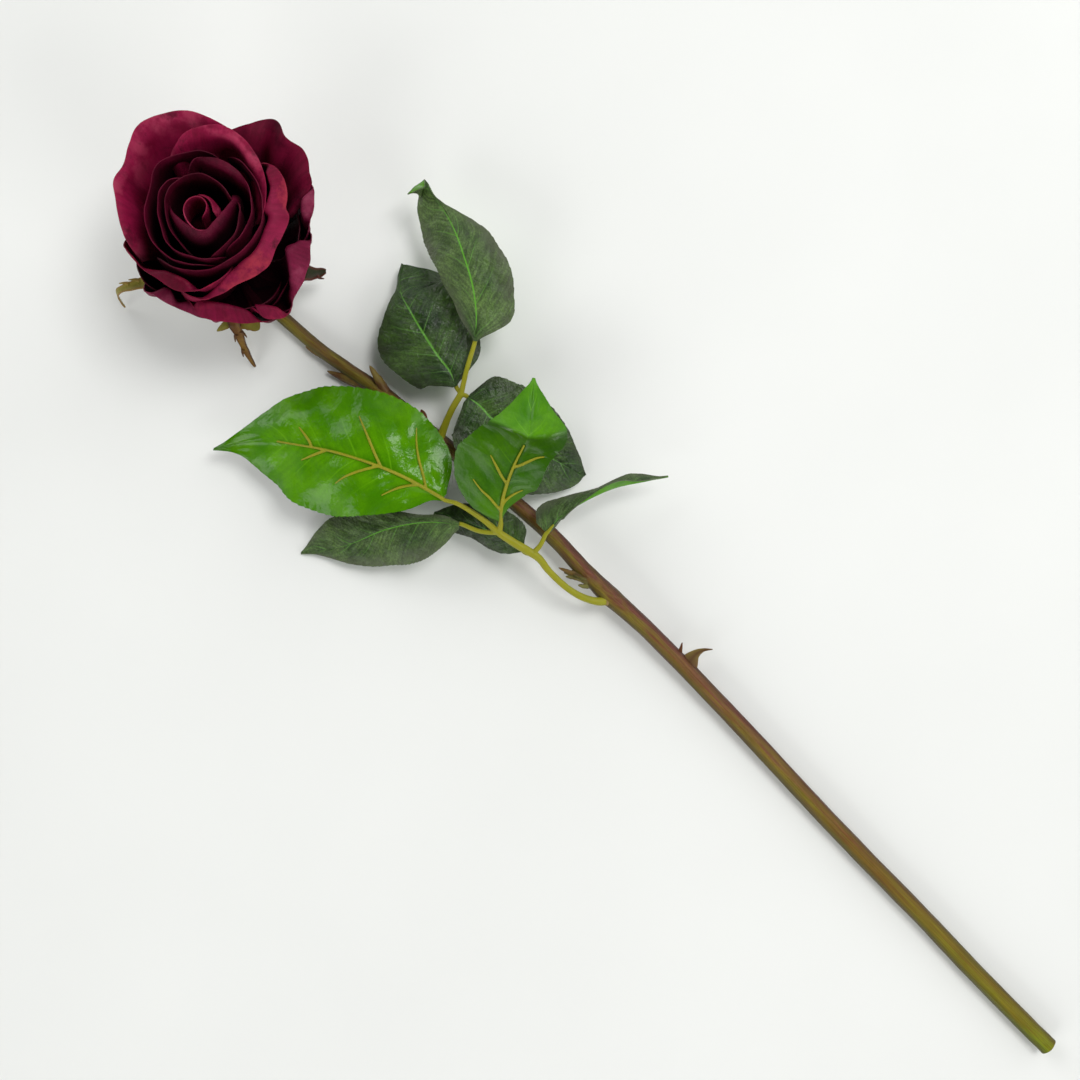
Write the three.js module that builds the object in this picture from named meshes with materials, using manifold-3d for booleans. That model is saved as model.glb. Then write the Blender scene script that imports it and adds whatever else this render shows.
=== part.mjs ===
// A long-stemmed artificial rose lying on its side: one burgundy bloom on a bent neck, a calyx with
// five sepals, a moulded stem with bracts, thorns and a side shoot, and two sprays of leaflets.
// Millimetres, +Z up, the surface it lies on at z = 0. X runs from the cut end to the bloom.
import * as THREE from 'three';
import { mergeVertices } from 'three/addons/utils/BufferGeometryUtils.js';
import Module from 'manifold-3d';

const wasm = await Module();
wasm.setup();

// ---------------------------------------------------------------- driving dimensions
// Places are first measured from the foot of the lower leaf stalk; the last step moves the origin
// under the middle of the whole outline.
const OUTLINE_MIDDLE = [-41.1, -0.9];
const GAP = 0.3; // left between pieces that touch
const LEAF_THICKNESS = 0.7;
const PETAL_THICKNESS = 0.8;
const SEPAL_THICKNESS = 0.9;

// The stem's centreline with its radius at each point: [x, y, z, radius].
const STEM_LINE = [
  [-287, 8.3, 3.35, 3.7],
  [-272, 7.8, 3.3, 3.65],
  [-242, 6.6, 3.3, 3.65],
  [-217, 5.1, 3.25, 3.6],
  [-179, 3.5, 3.3, 3.6],
  [-149, 1.8, 3.8, 3.55],
  [-118, -0.3, 4.2, 3.5],
  [-95, -1.6, 4.8, 3.45],
  [-57, -3.2, 6.4, 3.4],
  [-44, -3.1, 7, 3.6],
  [-35, -2.8, 7.6, 4],
  [-28, -2.9, 8, 3.6],
  [-19, -3.3, 8.3, 3.3],
  [-3, -4.5, 8.6, 3.2],
  [17, -4, 8.8, 3.1],
  [54, -1.7, 7.6, 3],
  [72, -0.8, 6.2, 2.9],
  [84, 0, 5.2, 2.9],
  [104, 3, 3.8, 2.7],
  [116, 4.7, 3.1, 2.6],
  [136, 5.6, 2.45, 2.6],
  [151, 6.2, 2.4, 2.6],
  [158, 6.4, 2.7, 2.6],
  [162.8, 6.5, 5.1, 2.5],
  [164.6, 6.5, 9.5, 2.4],
];
const STEM_SIDES = 10;
const STEM_STEPS = 60;

// The bloom stands on its receptacle and faces almost straight up.
const RECEPTACLE = new THREE.Vector3(165, 4.7, 22);
const BUD_TOP = new THREE.Vector3(165.3, -2.4, 71);

// ---------------------------------------------------------------- small helpers
const vec = (list) => new THREE.Vector3(list[0], list[1], list[2]);
const mix = THREE.MathUtils.lerp;
const smooth = THREE.MathUtils.smoothstep;
const radians = THREE.MathUtils.degToRad;
const UP = new THREE.Vector3(0, 0, 1);

// A value along a list of values that are spread evenly from 0 to 1.
function along(list, t) {
  const at = Math.min(Math.max(t, 0), 1) * (list.length - 1);
  const i = Math.min(Math.floor(at), list.length - 2);
  return mix(list[i], list[i + 1], at - i);
}

// A smooth curve through rows of numbers, each row a point with any number of values.
function rowAt(rows, t) {
  const at = Math.min(Math.max(t, 0), 1) * (rows.length - 1);
  const i = Math.min(Math.floor(at), rows.length - 2);
  const f = at - i;
  const before = rows[Math.max(i - 1, 0)];
  const after = rows[Math.min(i + 2, rows.length - 1)];
  return rows[i].map((value, k) => {
    const next = rows[i + 1][k];
    const m0 = (next - before[k]) / 2;
    const m1 = (after[k] - value) / 2;
    const f2 = f * f;
    const f3 = f2 * f;
    const towardsNext = 3 * f2 - 2 * f3;
    return (1 - towardsNext) * value + towardsNext * next + (f3 - 2 * f2 + f) * m0 + (f3 - f2) * m1;
  });
}

function solidFrom(geometry) {
  const bare = geometry.clone();
  bare.deleteAttribute('normal');
  bare.deleteAttribute('uv');
  const merged = mergeVertices(bare, 1e-5);
  const vertProperties = new Float32Array(merged.attributes.position.array);
  const triVerts = new Uint32Array(merged.index.array);
  return new wasm.Manifold(new wasm.Mesh({ numProp: 3, vertProperties, triVerts }));
}

function geometryFrom(solid) {
  const mesh = solid.getMesh();
  const geometry = new THREE.BufferGeometry();
  geometry.setAttribute('position', new THREE.BufferAttribute(new Float32Array(mesh.vertProperties), 3));
  geometry.setIndex(new THREE.BufferAttribute(new Uint32Array(mesh.triVerts), 1));
  return geometry;
}

const joined = (solids) => solids.reduce((sum, next) => sum.add(next));

// The largest piece of a solid: loose scraps are dropped, and hollows that fusing sealed are filled.
function mainBody(solid) {
  const pieces = solid.decompose();
  pieces.sort((a, b) => b.volume() - a.volume());
  return pieces[0];
}

function closedGeometry(positions, triangles) {
  const geometry = new THREE.BufferGeometry();
  const numbers = positions.flatMap((p) => p.toArray());
  geometry.setAttribute('position', new THREE.Float32BufferAttribute(numbers, 3));
  let volume = 0;
  for (let i = 0; i < triangles.length; i += 3) {
    const [a, b, c] = [triangles[i], triangles[i + 1], triangles[i + 2]].map((k) => positions[k]);
    volume += a.dot(b.clone().cross(c));
  }
  geometry.setIndex(volume > 0 ? triangles : triangles.reverse());
  return geometry;
}

// A thin closed blade over a surface point(u, v), split into triangles alike on both faces.
function blade(point, columns, rows, thickness) {
  const positions = [];
  const triangles = [];
  const step = 1e-3;
  const width = columns + 1;
  const layer = width * (rows + 1);
  for (const side of [0.5, -0.5]) {
    for (let j = 0; j <= rows; j += 1) {
      for (let i = 0; i <= columns; i += 1) {
        const u = i / columns;
        const v = j / rows;
        const upStep = point(u, Math.min(v + step, 1)).sub(point(u, Math.max(v - step, 0)));
        const before = point(Math.max(u - step, 0), v);
        const after = point(Math.min(u + step, 1), v);
        const normal = after.clone().sub(before).cross(upStep).normalize();
        const besideFold = u < 1 ? after.sub(point(u, v)) : point(u, v).sub(before);
        const mitre = Math.max(besideFold.cross(upStep).normalize().dot(normal), 0.5);
        positions.push(point(u, v).addScaledVector(normal, (side * thickness) / mitre));
      }
    }
  }
  for (let j = 0; j < rows; j += 1) {
    for (let i = 0; i < columns; i += 1) {
      const a = j * width + i;
      const [b, c, d] = [a + 1, a + width + 1, a + width];
      triangles.push(a, b, c, a, c, d);
      triangles.push(a + layer, c + layer, b + layer, a + layer, d + layer, c + layer);
    }
  }
  const rim = [];
  for (let i = 0; i < columns; i += 1) rim.push(i);
  for (let j = 0; j < rows; j += 1) rim.push(j * width + columns);
  for (let i = columns; i > 0; i -= 1) rim.push(rows * width + i);
  for (let j = rows; j > 0; j -= 1) rim.push(j * width);
  rim.forEach((a, k) => {
    const b = rim[(k + 1) % rim.length];
    triangles.push(a, a + layer, b + layer, a, b + layer, b);
  });
  return closedGeometry(positions, triangles);
}

const STEEP = 0.01; // below this a path stands upright, and its rings are turned by the Y axis

// A closed tube through points with a radius at each of them, on an even number of sides.
function taperedTube(points, radii, sides, steps) {
  const path = new THREE.CatmullRomCurve3(points, false, 'centripetal');
  const positions = [];
  const triangles = [];
  for (let j = 0; j <= steps; j += 1) {
    const t = j / steps;
    const centre = path.getPoint(t);
    const tangent = path.getTangent(t);
    const side = tangent.clone().cross(UP);
    if (side.lengthSq() < STEEP) side.set(0, -1, 0).cross(tangent).cross(tangent).negate();
    side.normalize();
    const top = side.clone().cross(tangent).normalize();
    const radius = along(radii, t);
    for (let i = 0; i < sides; i += 1) {
      const angle = ((i + 0.5) / sides) * 2 * Math.PI;
      const spoke = top.clone().multiplyScalar(Math.cos(angle)).addScaledVector(side, Math.sin(angle));
      positions.push(centre.clone().addScaledVector(spoke, radius));
    }
  }
  for (let j = 0; j < steps; j += 1) {
    for (let i = 0; i < sides; i += 1) {
      const a = j * sides + i;
      const b = j * sides + ((i + 1) % sides);
      triangles.push(a, b, b + sides, a, b + sides, a + sides);
    }
  }
  const last = steps * sides;
  for (let i = 1; i < sides - 1; i += 1) {
    triangles.push(0, i + 1, i, last, last + i, last + i + 1);
  }
  return closedGeometry(positions, triangles);
}

// ---------------------------------------------------------------- bloom
const BLOOM_AXIS = BUD_TOP.clone().sub(RECEPTACLE).normalize();
const BLOOM_EAST = new THREE.Vector3(1, 0, 0).addScaledVector(BLOOM_AXIS, -BLOOM_AXIS.x).normalize();
const BLOOM_NORTH = BLOOM_AXIS.clone().cross(BLOOM_EAST);

function inBloom(degrees, radius, height) {
  const angle = radians(degrees);
  return RECEPTACLE.clone()
    .addScaledVector(BLOOM_AXIS, height)
    .addScaledVector(BLOOM_EAST, radius * Math.cos(angle))
    .addScaledVector(BLOOM_NORTH, radius * Math.sin(angle));
}

// Each petal by its rim, from one side to the other: [degrees round the bloom, radius, height, lip].
// The lip is how far the rim rolls outward past the petal's crest.
const PETALS = {
  bud: [
    [200, 2.4, 45, 0], [255, 3.4, 48.5, 0], [320, 5.2, 49.5, 0], [380, 5.2, 49.5, 0],
    [420, 5, 49.5, 0], [470, 6, 49.5, 0], [500, 6.2, 48.5, 0], [540, 5, 46, 0],
  ],
  crescent: [
    [30, 10, 43, 0], [45, 8.6, 47, 0], [71, 6.8, 49, 0], [125, 7.6, 49.5, 0],
    [169, 6.6, 49.5, 0], [215, 7.4, 49.5, 0], [245, 11.2, 48.5, 0], [262, 11.4, 43, 0],
  ],
  ringRight: [
    [138, 14.6, 40, 0], [155, 13.8, 45, 0], [195, 12.4, 46.5, 0], [235, 13.1, 47.2, 0],
    [263, 12.5, 47.4, 0], [290, 12.2, 45, 0], [305, 11.4, 40, 0],
  ],
  ringTop: [
    [258, 14.2, 41, 0], [280, 14.4, 46.5, 0], [316, 14.8, 47.6, 0], [345, 15.8, 47.4, 0],
    [363, 15.2, 47, 0], [382, 12.8, 46.4, 0], [408, 10.6, 41, 0],
  ],
  ringLeft: [
    [-14, 18.2, 41, 0], [9, 18, 45.5, 0], [26, 16.1, 46, 0], [40, 14.9, 46, 0],
    [74, 14.7, 45.4, 0], [103, 14.8, 45, 0], [132, 15.1, 44, 0], [150, 14.4, 39, 0],
  ],
  foldedBand: [
    [-24, 15, 41, 0], [-33, 17.4, 46, 1], [-45, 20, 46.4, 3], [-62, 21, 46, 4],
    [-80, 21, 45.4, 4], [-100, 19.8, 44.8, 3], [-120, 18.2, 44.4, 1], [-145, 16.4, 44, 0],
    [-179, 14.9, 43.6, 0], [-196, 14.8, 39, 0],
  ],
  cupLeft: [
    [-66, 22, 38, 0], [-50, 23.6, 44, 0], [-29, 23.8, 45.4, 1], [-8, 23.4, 45.4, 1],
    [12, 20.6, 45, 0], [35, 19.6, 44.4, 0], [70, 19.5, 43.6, 0], [100, 18.8, 43, 0],
    [131, 17.5, 42.4, 0], [150, 17, 37, 0],
  ],
  cupFront: [
    [82, 21.5, 36, 0], [104, 20.6, 41, 0], [131, 19.6, 42, 0], [160, 18.4, 43, 0],
    [190, 19.4, 43.4, 0], [220, 21, 43.4, 0], [250, 22.6, 43.2, 0], [280, 25, 42, 0],
    [296, 26, 37, 0],
  ],
  crownTop: [
    [-16, 26, 38, 0], [-27, 28, 43.6, 0], [-37, 31.4, 44.6, 1], [-49, 34, 44.4, 3],
    [-60, 34.4, 43.8, 4], [-71, 33.2, 43, 4], [-84, 30, 42.2, 4], [-98, 27.4, 42, 3],
    [-112, 24.6, 41.6, 1], [-139, 19.8, 39, 0],
  ],
  frontLip: [
    [-84, 24.5, 38, 0], [-93, 28, 41.6, 3], [-101, 31.6, 40, 6], [-116, 31.4, 37.6, 7],
    [-130, 30.2, 36.6, 7], [-149, 28, 36.4, 6], [-166, 27, 36, 6], [-184, 26.6, 36, 5],
    [-205, 27.4, 35.6, 4], [-226, 28.6, 35, 3], [-240, 26.6, 35, 1], [-252, 24, 32, 0],
  ],
  frontLeft: [
    [38, 27, 28, 0], [50, 30, 31.6, 0], [58, 31.6, 30.6, 1], [75, 27, 33, 1],
    [102, 24.2, 36, 2], [130, 23.8, 37.6, 2], [150, 22.8, 39.6, 1], [168, 21.6, 41, 0],
    [184, 22, 37, 0],
  ],
  grandLeft: [
    [-88, 28, 34, 0], [-78, 31, 40.4, 0], [-62, 34.6, 42.4, 1], [-48, 38, 43, 1],
    [-33, 40.4, 42.6, 2], [-16, 41.8, 41, 2], [-3, 38.6, 40.4, 1], [9, 35.4, 39.4, 1],
    [20, 35.6, 37.6, 2], [30, 31.8, 38, 1], [44, 30, 37.6, 0], [58, 28.4, 35, 0],
    [72, 26.4, 29, 0],
  ],
  backDark: [
    [-46, 34, 27, 0], [-57, 36.4, 34, 0], [-68, 41.4, 35, 0], [-77, 47.4, 33.6, 2],
    [-86, 44.4, 34, 1], [-95, 46, 33.4, 2], [-105, 43.4, 32.6, 1], [-111, 43, 31, 1],
    [-119, 37.6, 28.6, 0], [-130, 33, 23, 0],
  ],
  rolledRight: [
    [-100, 34, 22, 0], [-107, 38, 27.4, 2], [-114, 41.2, 27.6, 4], [-123, 40.4, 26, 6],
    [-131, 39.2, 25, 6], [-139, 37.2, 24, 4], [-148, 33, 19, 0],
  ],
  cornerRight: [
    [-128, 33, 18, 0], [-137, 36, 24, 2], [-145, 37.2, 23.4, 6], [-154, 37, 21.6, 8],
    [-164, 37.6, 20, 8], [-173, 38.4, 18, 6], [-182, 38.4, 16, 3], [-194, 33, 13, 0],
  ],
  cornerFront: [
    [144, 26, 18, 0], [153, 29.6, 23.6, 1], [162, 31.4, 24.6, 2], [172, 34.6, 22.6, 4],
    [181, 38, 19, 3], [190, 36.4, 15, 1], [200, 32, 12, 0],
  ],
  skirtFront: [
    [98, 24, 20, 0], [108, 27, 26.4, 2], [120, 28.6, 25, 4], [134, 30, 22.4, 4],
    [148, 32.2, 19.4, 3], [160, 34.6, 17, 2], [170, 34, 14, 0], [180, 29, 11, 0],
  ],
  skirtLeft: [
    [66, 26, 18, 0], [78, 30.4, 24.4, 1], [87, 32.6, 24, 2], [97, 31.6, 23.6, 3],
    [110, 30.8, 21.6, 4], [121, 30.4, 19, 4], [132, 29.6, 17, 2], [146, 26, 13, 0],
  ],
  skirtBack: [
    [-70, 28, 14, 0], [-52, 33, 24, 1], [-32, 36, 27, 3], [-10, 36.4, 27, 3],
    [12, 34.6, 26, 3], [34, 31.6, 25, 2], [54, 29.4, 22, 1], [72, 25, 14, 0],
  ],
};
const HEART_PROFILE = [[0, 0], [5, 0], [10, 4], [12.5, 12], [12, 24], [9.5, 36], [5, 43], [0, 45]];
const HEART_SIDES = 14;
const FEWEST_COLUMNS = 7; // a petal has a column for each step of its rim, and at least these
const PETAL_ROWS = 4;
const PETAL_BASE = [4.5, 1]; // radius and height where a petal leaves the receptacle
const PETAL_SPREAD = 0.975; // the rims above were taken on the petals' outer faces
const BELLY = [0.96, 0.1]; // a petal's lower control point, as shares of its radius and height
const UPRIGHT_CREST = [1.03, 0.68]; // its upper one where the rim stands upright, likewise
const ROLLED_CREST = [-1.3, 0.9]; // and where it rolls over, from the rim, as shares of the lip
const ROLLED_LIP = 5; // a lip this long is fully rolled over
const BASE_SPREAD = 0.55; // how wide a petal is at its base, as a share of its width higher up

// A petal's surface: u from side to side, v from the base to the rim. Each meridian is a cubic curve
// that leaves the base outwards, rises through the cup and ends upright or rolled over the lip.
function petalPoint(rim, u, v) {
  const [degrees, outerRadius, height, lip] = rowAt(rim, u);
  const radius = outerRadius * PETAL_SPREAD;
  const middle = (rim[0][0] + rim[rim.length - 1][0]) / 2;
  const roll = smooth(lip, 0, ROLLED_LIP);
  const belly = [radius * BELLY[0], height * BELLY[1] + PETAL_BASE[1]];
  const crest = [
    mix(radius * UPRIGHT_CREST[0], radius + lip * ROLLED_CREST[0], roll),
    mix(height * UPRIGHT_CREST[1], height + lip * ROLLED_CREST[1], roll),
  ];
  const w = [(1 - v) ** 3, 3 * (1 - v) ** 2 * v, 3 * (1 - v) * v * v, v ** 3];
  const r = w[0] * PETAL_BASE[0] + w[1] * belly[0] + w[2] * crest[0] + w[3] * radius;
  const h = w[0] * PETAL_BASE[1] + w[1] * belly[1] + w[2] * crest[1] + w[3] * height;
  const spread = mix(BASE_SPREAD, 1, smooth(v, 0, 0.6));
  return inBloom(middle + (degrees - middle) * spread, r, h);
}

// A closed profile of [radius, height] turned round the bloom's axis, with its foot on the receptacle.
function turnedOnBloomAxis(profile, sides) {
  const turned = new THREE.LatheGeometry(profile.map(([r, h]) => new THREE.Vector2(r, h)), sides);
  turned.rotateX(Math.PI / 2);
  turned.applyQuaternion(new THREE.Quaternion().setFromUnitVectors(UP, BLOOM_AXIS));
  turned.translate(...RECEPTACLE.toArray());
  return turned;
}

// The petals grow from a tight heart, which fills the space between the innermost of them.
function bloomGeometry() {
  const heart = turnedOnBloomAxis(HEART_PROFILE, HEART_SIDES);
  const petals = Object.values(PETALS).map((rim) => {
    const columns = Math.max(rim.length - 1, FEWEST_COLUMNS);
    return solidFrom(blade((u, v) => petalPoint(rim, u, v), columns, PETAL_ROWS, PETAL_THICKNESS));
  });
  return geometryFrom(mainBody(joined([solidFrom(heart), ...petals])));
}

// ---------------------------------------------------------------- calyx
// Each sepal's middle line from the hip to its tip: [degrees round the bloom, reach, height].
const SEPALS = [
  [[58, 3.5, 20], [58, 16, 22], [58, 30, 21.6], [59, 40, 17.5], [61, 44.5, 11], [64.5, 47, 0.6]],
  [[138, 3.5, 20], [137, 14, 18.5], [136.5, 26, 13], [141, 35, 6], [145.5, 41, 0.6]],
  [[216, 3.5, 20], [216, 16, 19.5], [216, 28, 15.5], [216, 38.4, 9.5]],
  [[285, 3.5, 20], [285, 14, 17], [285, 24, 9], [285, 31, 0.6]],
  [[352, 3.5, 20], [352, 14, 17], [352, 24, 9], [352, 31, 0.6]],
];
const SEPAL_WIDTHS = [6.5, 7.5, 6.5, 5, 4.4, 3.6, 3.8, 2.6, 2.2, 0.9];
const HIP_SIDES = 12;
const HIP_PROFILE = [[0, -12], [3, -12], [5.2, -9.5], [6, -6], [5.2, -2.5], [6.4, -GAP], [0, -GAP]];

// A sepal leaves the hip level and droops towards the surface.
function sepalPoint(line, u, v) {
  const [degrees, reach, height] = rowAt(line, v);
  const angle = radians(degrees);
  const width = along(SEPAL_WIDTHS, v);
  const side = new THREE.Vector3(-Math.sin(angle), Math.cos(angle), 0);
  const keel = 0.1 * width * Math.abs(2 * u - 1);
  return new THREE.Vector3(
    RECEPTACLE.x + reach * Math.cos(angle),
    RECEPTACLE.y + reach * Math.sin(angle),
    height + keel,
  ).addScaledVector(side, (u - 0.5) * width);
}

function calyxSolid() {
  const hip = turnedOnBloomAxis(HIP_PROFILE, HIP_SIDES);
  const sepals = SEPALS.map((sepal) =>
    solidFrom(blade((u, v) => sepalPoint(sepal, u, v), 2, SEPAL_WIDTHS.length - 1, SEPAL_THICKNESS)),
  );
  return mainBody(joined([solidFrom(hip), ...sepals]));
}

// ---------------------------------------------------------------- leaflets
// Each leaflet by its midrib, from the stalk to the tip, the widths of its left and right halves at
// evenly spread places from base to tip, and how many degrees each half folds up from the midrib.
const LEAFLETS = {
  leaflet_d: { // lower spray's end leaflet, its bright underside up
    midrib: [
      [38, 14.1, 23], [43.9, 15, 24.4], [54.3, 18.1, 27], [63, 21, 28], [73.7, 25.8, 27.4],
      [83.7, 31.3, 25], [92.9, 36.5, 22], [102.7, 41.5, 17.5], [111.4, 51.9, 13], [118.5, 62.1, 10],
    ],
    left: [1, 6, 17, 22, 25, 24, 19.5, 8, 0.5],
    right: [2, 18, 24, 27.5, 27, 24, 18, 6, 0.5],
    folds: [[-8, -14, -10], [-8, -12, -8]],
  },
  leaflet_e: { // lower spray's folded leaflet, underside up
    midrib: [
      [16, 5, 22.5], [18.2, 2.4, 26], [24.1, -6.9, 32], [26.1, -13.6, 35.5], [28.1, -20.7, 38.5],
      [29.6, -24.9, 39], [35.9, -33.3, 35], [43.9, -43.3, 29],
    ],
    left: [0.5, 8, 19, 22.5, 20, 17, 16, 8.5, 0.5],
    right: [0.5, 1.5, 8.5, 11.5, 11, 12, 15, 7.5, 0.5],
    folds: [[-6, 8, -6], [-6, 4, -6]],
  },
  leaflet_f: { // lower spray, dark face up, its tip down on the surface
    midrib: [
      [27.2, 17, 19], [37.5, 25.6, 17], [46.8, 38.1, 12.5], [55, 55, 6], [66.5, 69.7, 0.6],
    ],
    left: [2, 10, 14, 16, 16, 13.5, 8, 3, 0.5],
    right: [0.5, 3, 3.5, 5, 8.5, 12.5, 13, 8, 0.5],
    folds: [[-8, -12, 0], [-20, -14, 0]],
  },
  leaflet_g: { // lower spray, dark and narrow, both halves hanging from its midrib
    midrib: [
      [-0.1, -3.8, 20], [0.2, -12.6, 22], [-3, -25, 22], [-6.6, -36, 19.5], [-12.1, -44.1, 16],
      [-19.7, -52.6, 12],
    ],
    left: [6, 11, 9, 6.5, 5, 5, 4.5, 2.5, 0.5],
    right: [1.5, 3.5, 3.5, 3, 3, 3.5, 3.5, 2, 0.5],
    folds: [[-12, -32, -56, -56, -56], [-56, -56, -56, -56, -56]],
  },
  leaflet_h: { // lower spray, dark, behind the leaf stalk
    midrib: [
      [1.9, 7.7, 15.5], [9.4, 8.8, 15], [22.6, 13.2, 13], [37.9, 20.9, 9.5],
    ],
    left: [0.5, 3.5, 5.5, 6.5, 7, 6.5, 5.5, 3.5, 0.5],
    right: [1, 5, 9, 10, 10, 9, 7.5, 4.5, 0.5],
    folds: [[-20, -35, -25], [-4, -6, 0]],
  },
  leaflet_a: { // upper spray's end leaflet, its tip curled over
    midrib: [
      [71, -38.8, 21], [77.8, -46.8, 23.5], [86.1, -53.6, 26], [95.6, -59.2, 26.5], [104.1, -63.7, 25],
      [112.8, -67, 22.5], [121, -68.7, 20], [127.3, -70.2, 18.5], [128.7, -66.5, 22], [128.1, -62.1, 24],
    ],
    left: [0.5, 7, 13, 15, 16, 13.5, 5.5, 4, 0.5],
    right: [1, 15, 16, 12.5, 6, 1, 0.5, 0.5, 0.5],
    folds: [[-26, -40, -26], [-6, -8, -4]],
  },
  leaflet_b: { // upper spray, its blunt tip bent down
    midrib: [
      [65.1, -21.3, 16], [70.4, -23.7, 16.6], [78.2, -25, 15.6], [88.9, -27.7, 13.5], [99.9, -30.9, 11],
      [108.2, -34.1, 8.4], [112, -37.2, 6.2], [114.2, -40.9, 4], [114.8, -43.6, 2],
    ],
    left: [1, 13, 17, 20.5, 12, 2.5, 1.5, 1, 0.5],
    right: [0.5, 10, 16, 17, 17, 17, 17, 14, 6],
    folds: [[-8, -10, -10], [-10, -8, -10]],
  },
  leaflet_c: { // upper spray, its tip down on the surface
    midrib: [
      [58.7, -21.4, 16], [52.9, -22.1, 16.6], [46.5, -21.6, 16.6], [32.8, -23.4, 15], [18.2, -26.9, 9.5],
      [8.1, -29.7, 4], [4.6, -31.3, 0.8],
    ],
    left: [2, 12, 17.5, 18.5, 18.5, 15.5, 9, 4.5, 0.5],
    right: [3, 15, 17.5, 20.5, 21, 17, 12, 5, 0.5],
    folds: [[-4, -6, 0], [0, 7, 6]],
  },
};
const LEAF_ROWS = 18;
const LEAF_COLUMNS = 4;
const TOOTH_DEPTH = 0.05; // as a share of the half width

function leafFrame(leaf, t) {
  const path = new THREE.CatmullRomCurve3(leaf.midrib.map(vec), false, 'centripetal');
  const tangent = path.getTangent(t);
  const right = tangent.clone().cross(UP).normalize();
  const face = right.clone().cross(tangent);
  return { centre: path.getPoint(t), tangent, right, face };
}

// A leaflet's surface: u from the left edge to the right one, v from the base to the tip.
function leafPoint(leaf, u, v) {
  const { centre, right, face } = leafFrame(leaf, v);
  const side = u < 0.5 ? 0 : 1;
  const share = Math.abs(2 * u - 1);
  const fold = radians(along(leaf.folds[side], v));
  const notch = Math.round(v * LEAF_ROWS) % 2 ? 1 : 1 - TOOTH_DEPTH;
  const width = Math.max(rowAt((side ? leaf.right : leaf.left).map((w) => [w]), v)[0], 0.3) * notch;
  const arch = 0.12 * width * share * (1 - share);
  return centre
    .addScaledVector(right, (side ? 1 : -1) * share * width * Math.cos(fold))
    .addScaledVector(face, share * width * Math.sin(fold) + arch);
}

const leafBlade = (leaf) =>
  blade((u, v) => leafPoint(leaf, u, v), LEAF_COLUMNS, LEAF_ROWS, LEAF_THICKNESS);

// A point clear of a leaflet's upper or lower face, for a rib of the given radius.
function besideLeaf(leaf, u, v, above, radius) {
  const { face } = leafFrame(leaf, v);
  const towards = Math.max(0, ...leaf.folds.map((fold) => along(fold, v) * (above ? 1 : -1)));
  const clear = (LEAF_THICKNESS / 2 + GAP + radius) / Math.cos(radians(towards));
  return leafPoint(leaf, u, v).addScaledVector(face, above ? clear : -clear);
}

// ---------------------------------------------------------------- leaf stalks with their ribs
const RIB_RADIUS = 0.7;
const RIB_SIDES = 6;
const LEAD = 1.6; // how far before a leaflet's base its stalk runs level with the blade
// Side ribs of the two leaflets that show their undersides: [where they leave the midrib, where
// they end along the leaflet, how far out across it], left negative and right positive.
const SIDE_RIBS = {
  leaflet_d: [[0.08, 0.3, 0.8], [0.27, 0.45, 0.8], [0.6, 0.66, 0.6], [0.1, 0.26, -0.55], [0.27, 0.46, -0.6],
    [0.5, 0.6, -0.5]],
  leaflet_e: [[0.22, 0.42, -0.5], [0.1, 0.24, -0.45], [0.3, 0.46, 0.5], [0.12, 0.22, 0.4]],
};

function tubeSolid(points, radii, sides = RIB_SIDES, stepsPerPoint = 2) {
  return solidFrom(taperedTube(points, radii, sides, (points.length - 1) * stepsPerPoint));
}

// A stalk runs from a joint to its leaflet and on along the leaflet's midrib.
function stalkSolid(joint, leaf, above, reach, jointRadius) {
  const { tangent } = leafFrame(leaf, 0);
  const lead = besideLeaf(leaf, 0.5, 0, above, RIB_RADIUS).addScaledVector(tangent, -LEAD);
  const stations = [0.02, reach / 3, (2 * reach) / 3, reach];
  const ends = stations.map((v) => besideLeaf(leaf, 0.5, v, above, RIB_RADIUS));
  return tubeSolid([...joint, lead, ...ends], [jointRadius, RIB_RADIUS * 1.2, RIB_RADIUS, RIB_RADIUS * 0.7]);
}

function sideRib(leaf, [from, to, out]) {
  const at = (share) =>
    besideLeaf(leaf, 0.5 + (out / 2) * share, mix(from, to, share), true, RIB_RADIUS * 0.8);
  return tubeSolid([at(0), at(0.5), at(1)], [RIB_RADIUS * 0.8, RIB_RADIUS * 0.5], RIB_SIDES, 1);
}

const LOWER_SPRAY_STALK = [
  [-36, -2, 8.4], [-34, 1.4, 10], [-28, 4.8, 12], [-21.5, 6.3, 13.6], [-15.3, 6.6, 15],
  [-9.8, 6.3, 16], [-5.1, 5.5, 17], [-1.7, 5.8, 17.5], [5.7, 7.5, 19], [13.4, 8.9, 20],
];
const LOWER_SPRAY_FORK = [-1.7, 5.8, 17.5];
const LOWER_SPRAY_END = [13.4, 8.9, 20];
const UPPER_SPRAY_STALK = [[56, -1.2, 8.4], [58, -6.5, 11], [60.2, -13.5, 14], [61.5, -20.5, 16.6]];
const UPPER_SPRAY_FORK = [61.5, -20.5, 16.6];

function lowerPetioleSolid() {
  const { leaflet_d: d, leaflet_e: e, leaflet_f: f, leaflet_g: g, leaflet_h: h } = LEAFLETS;
  const fork = vec(LOWER_SPRAY_END);
  return joined([
    tubeSolid(LOWER_SPRAY_STALK.map(vec), [1.9, 1.5, 1.35, 1.35, 1.4, 1.4, 1.3], 8, 2),
    stalkSolid([fork, vec([21.9, 9.4, 22.4]), vec([32.8, 11.6, 24])], d, true, 0.66, 1.25),
    stalkSolid([fork], e, true, 0.56, 1.2),
    stalkSolid([fork, vec([19.6, 13.7, 19.2])], f, false, 0.34, 1),
    stalkSolid([vec(LOWER_SPRAY_FORK), vec([-1.4, 1, 19.4])], g, true, 0.1, 1.1),
    stalkSolid([vec(LOWER_SPRAY_FORK)], h, false, 0.3, 1),
    ...SIDE_RIBS.leaflet_d.map((rib) => sideRib(d, rib)),
    ...SIDE_RIBS.leaflet_e.map((rib) => sideRib(e, rib)),
  ]);
}

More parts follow.
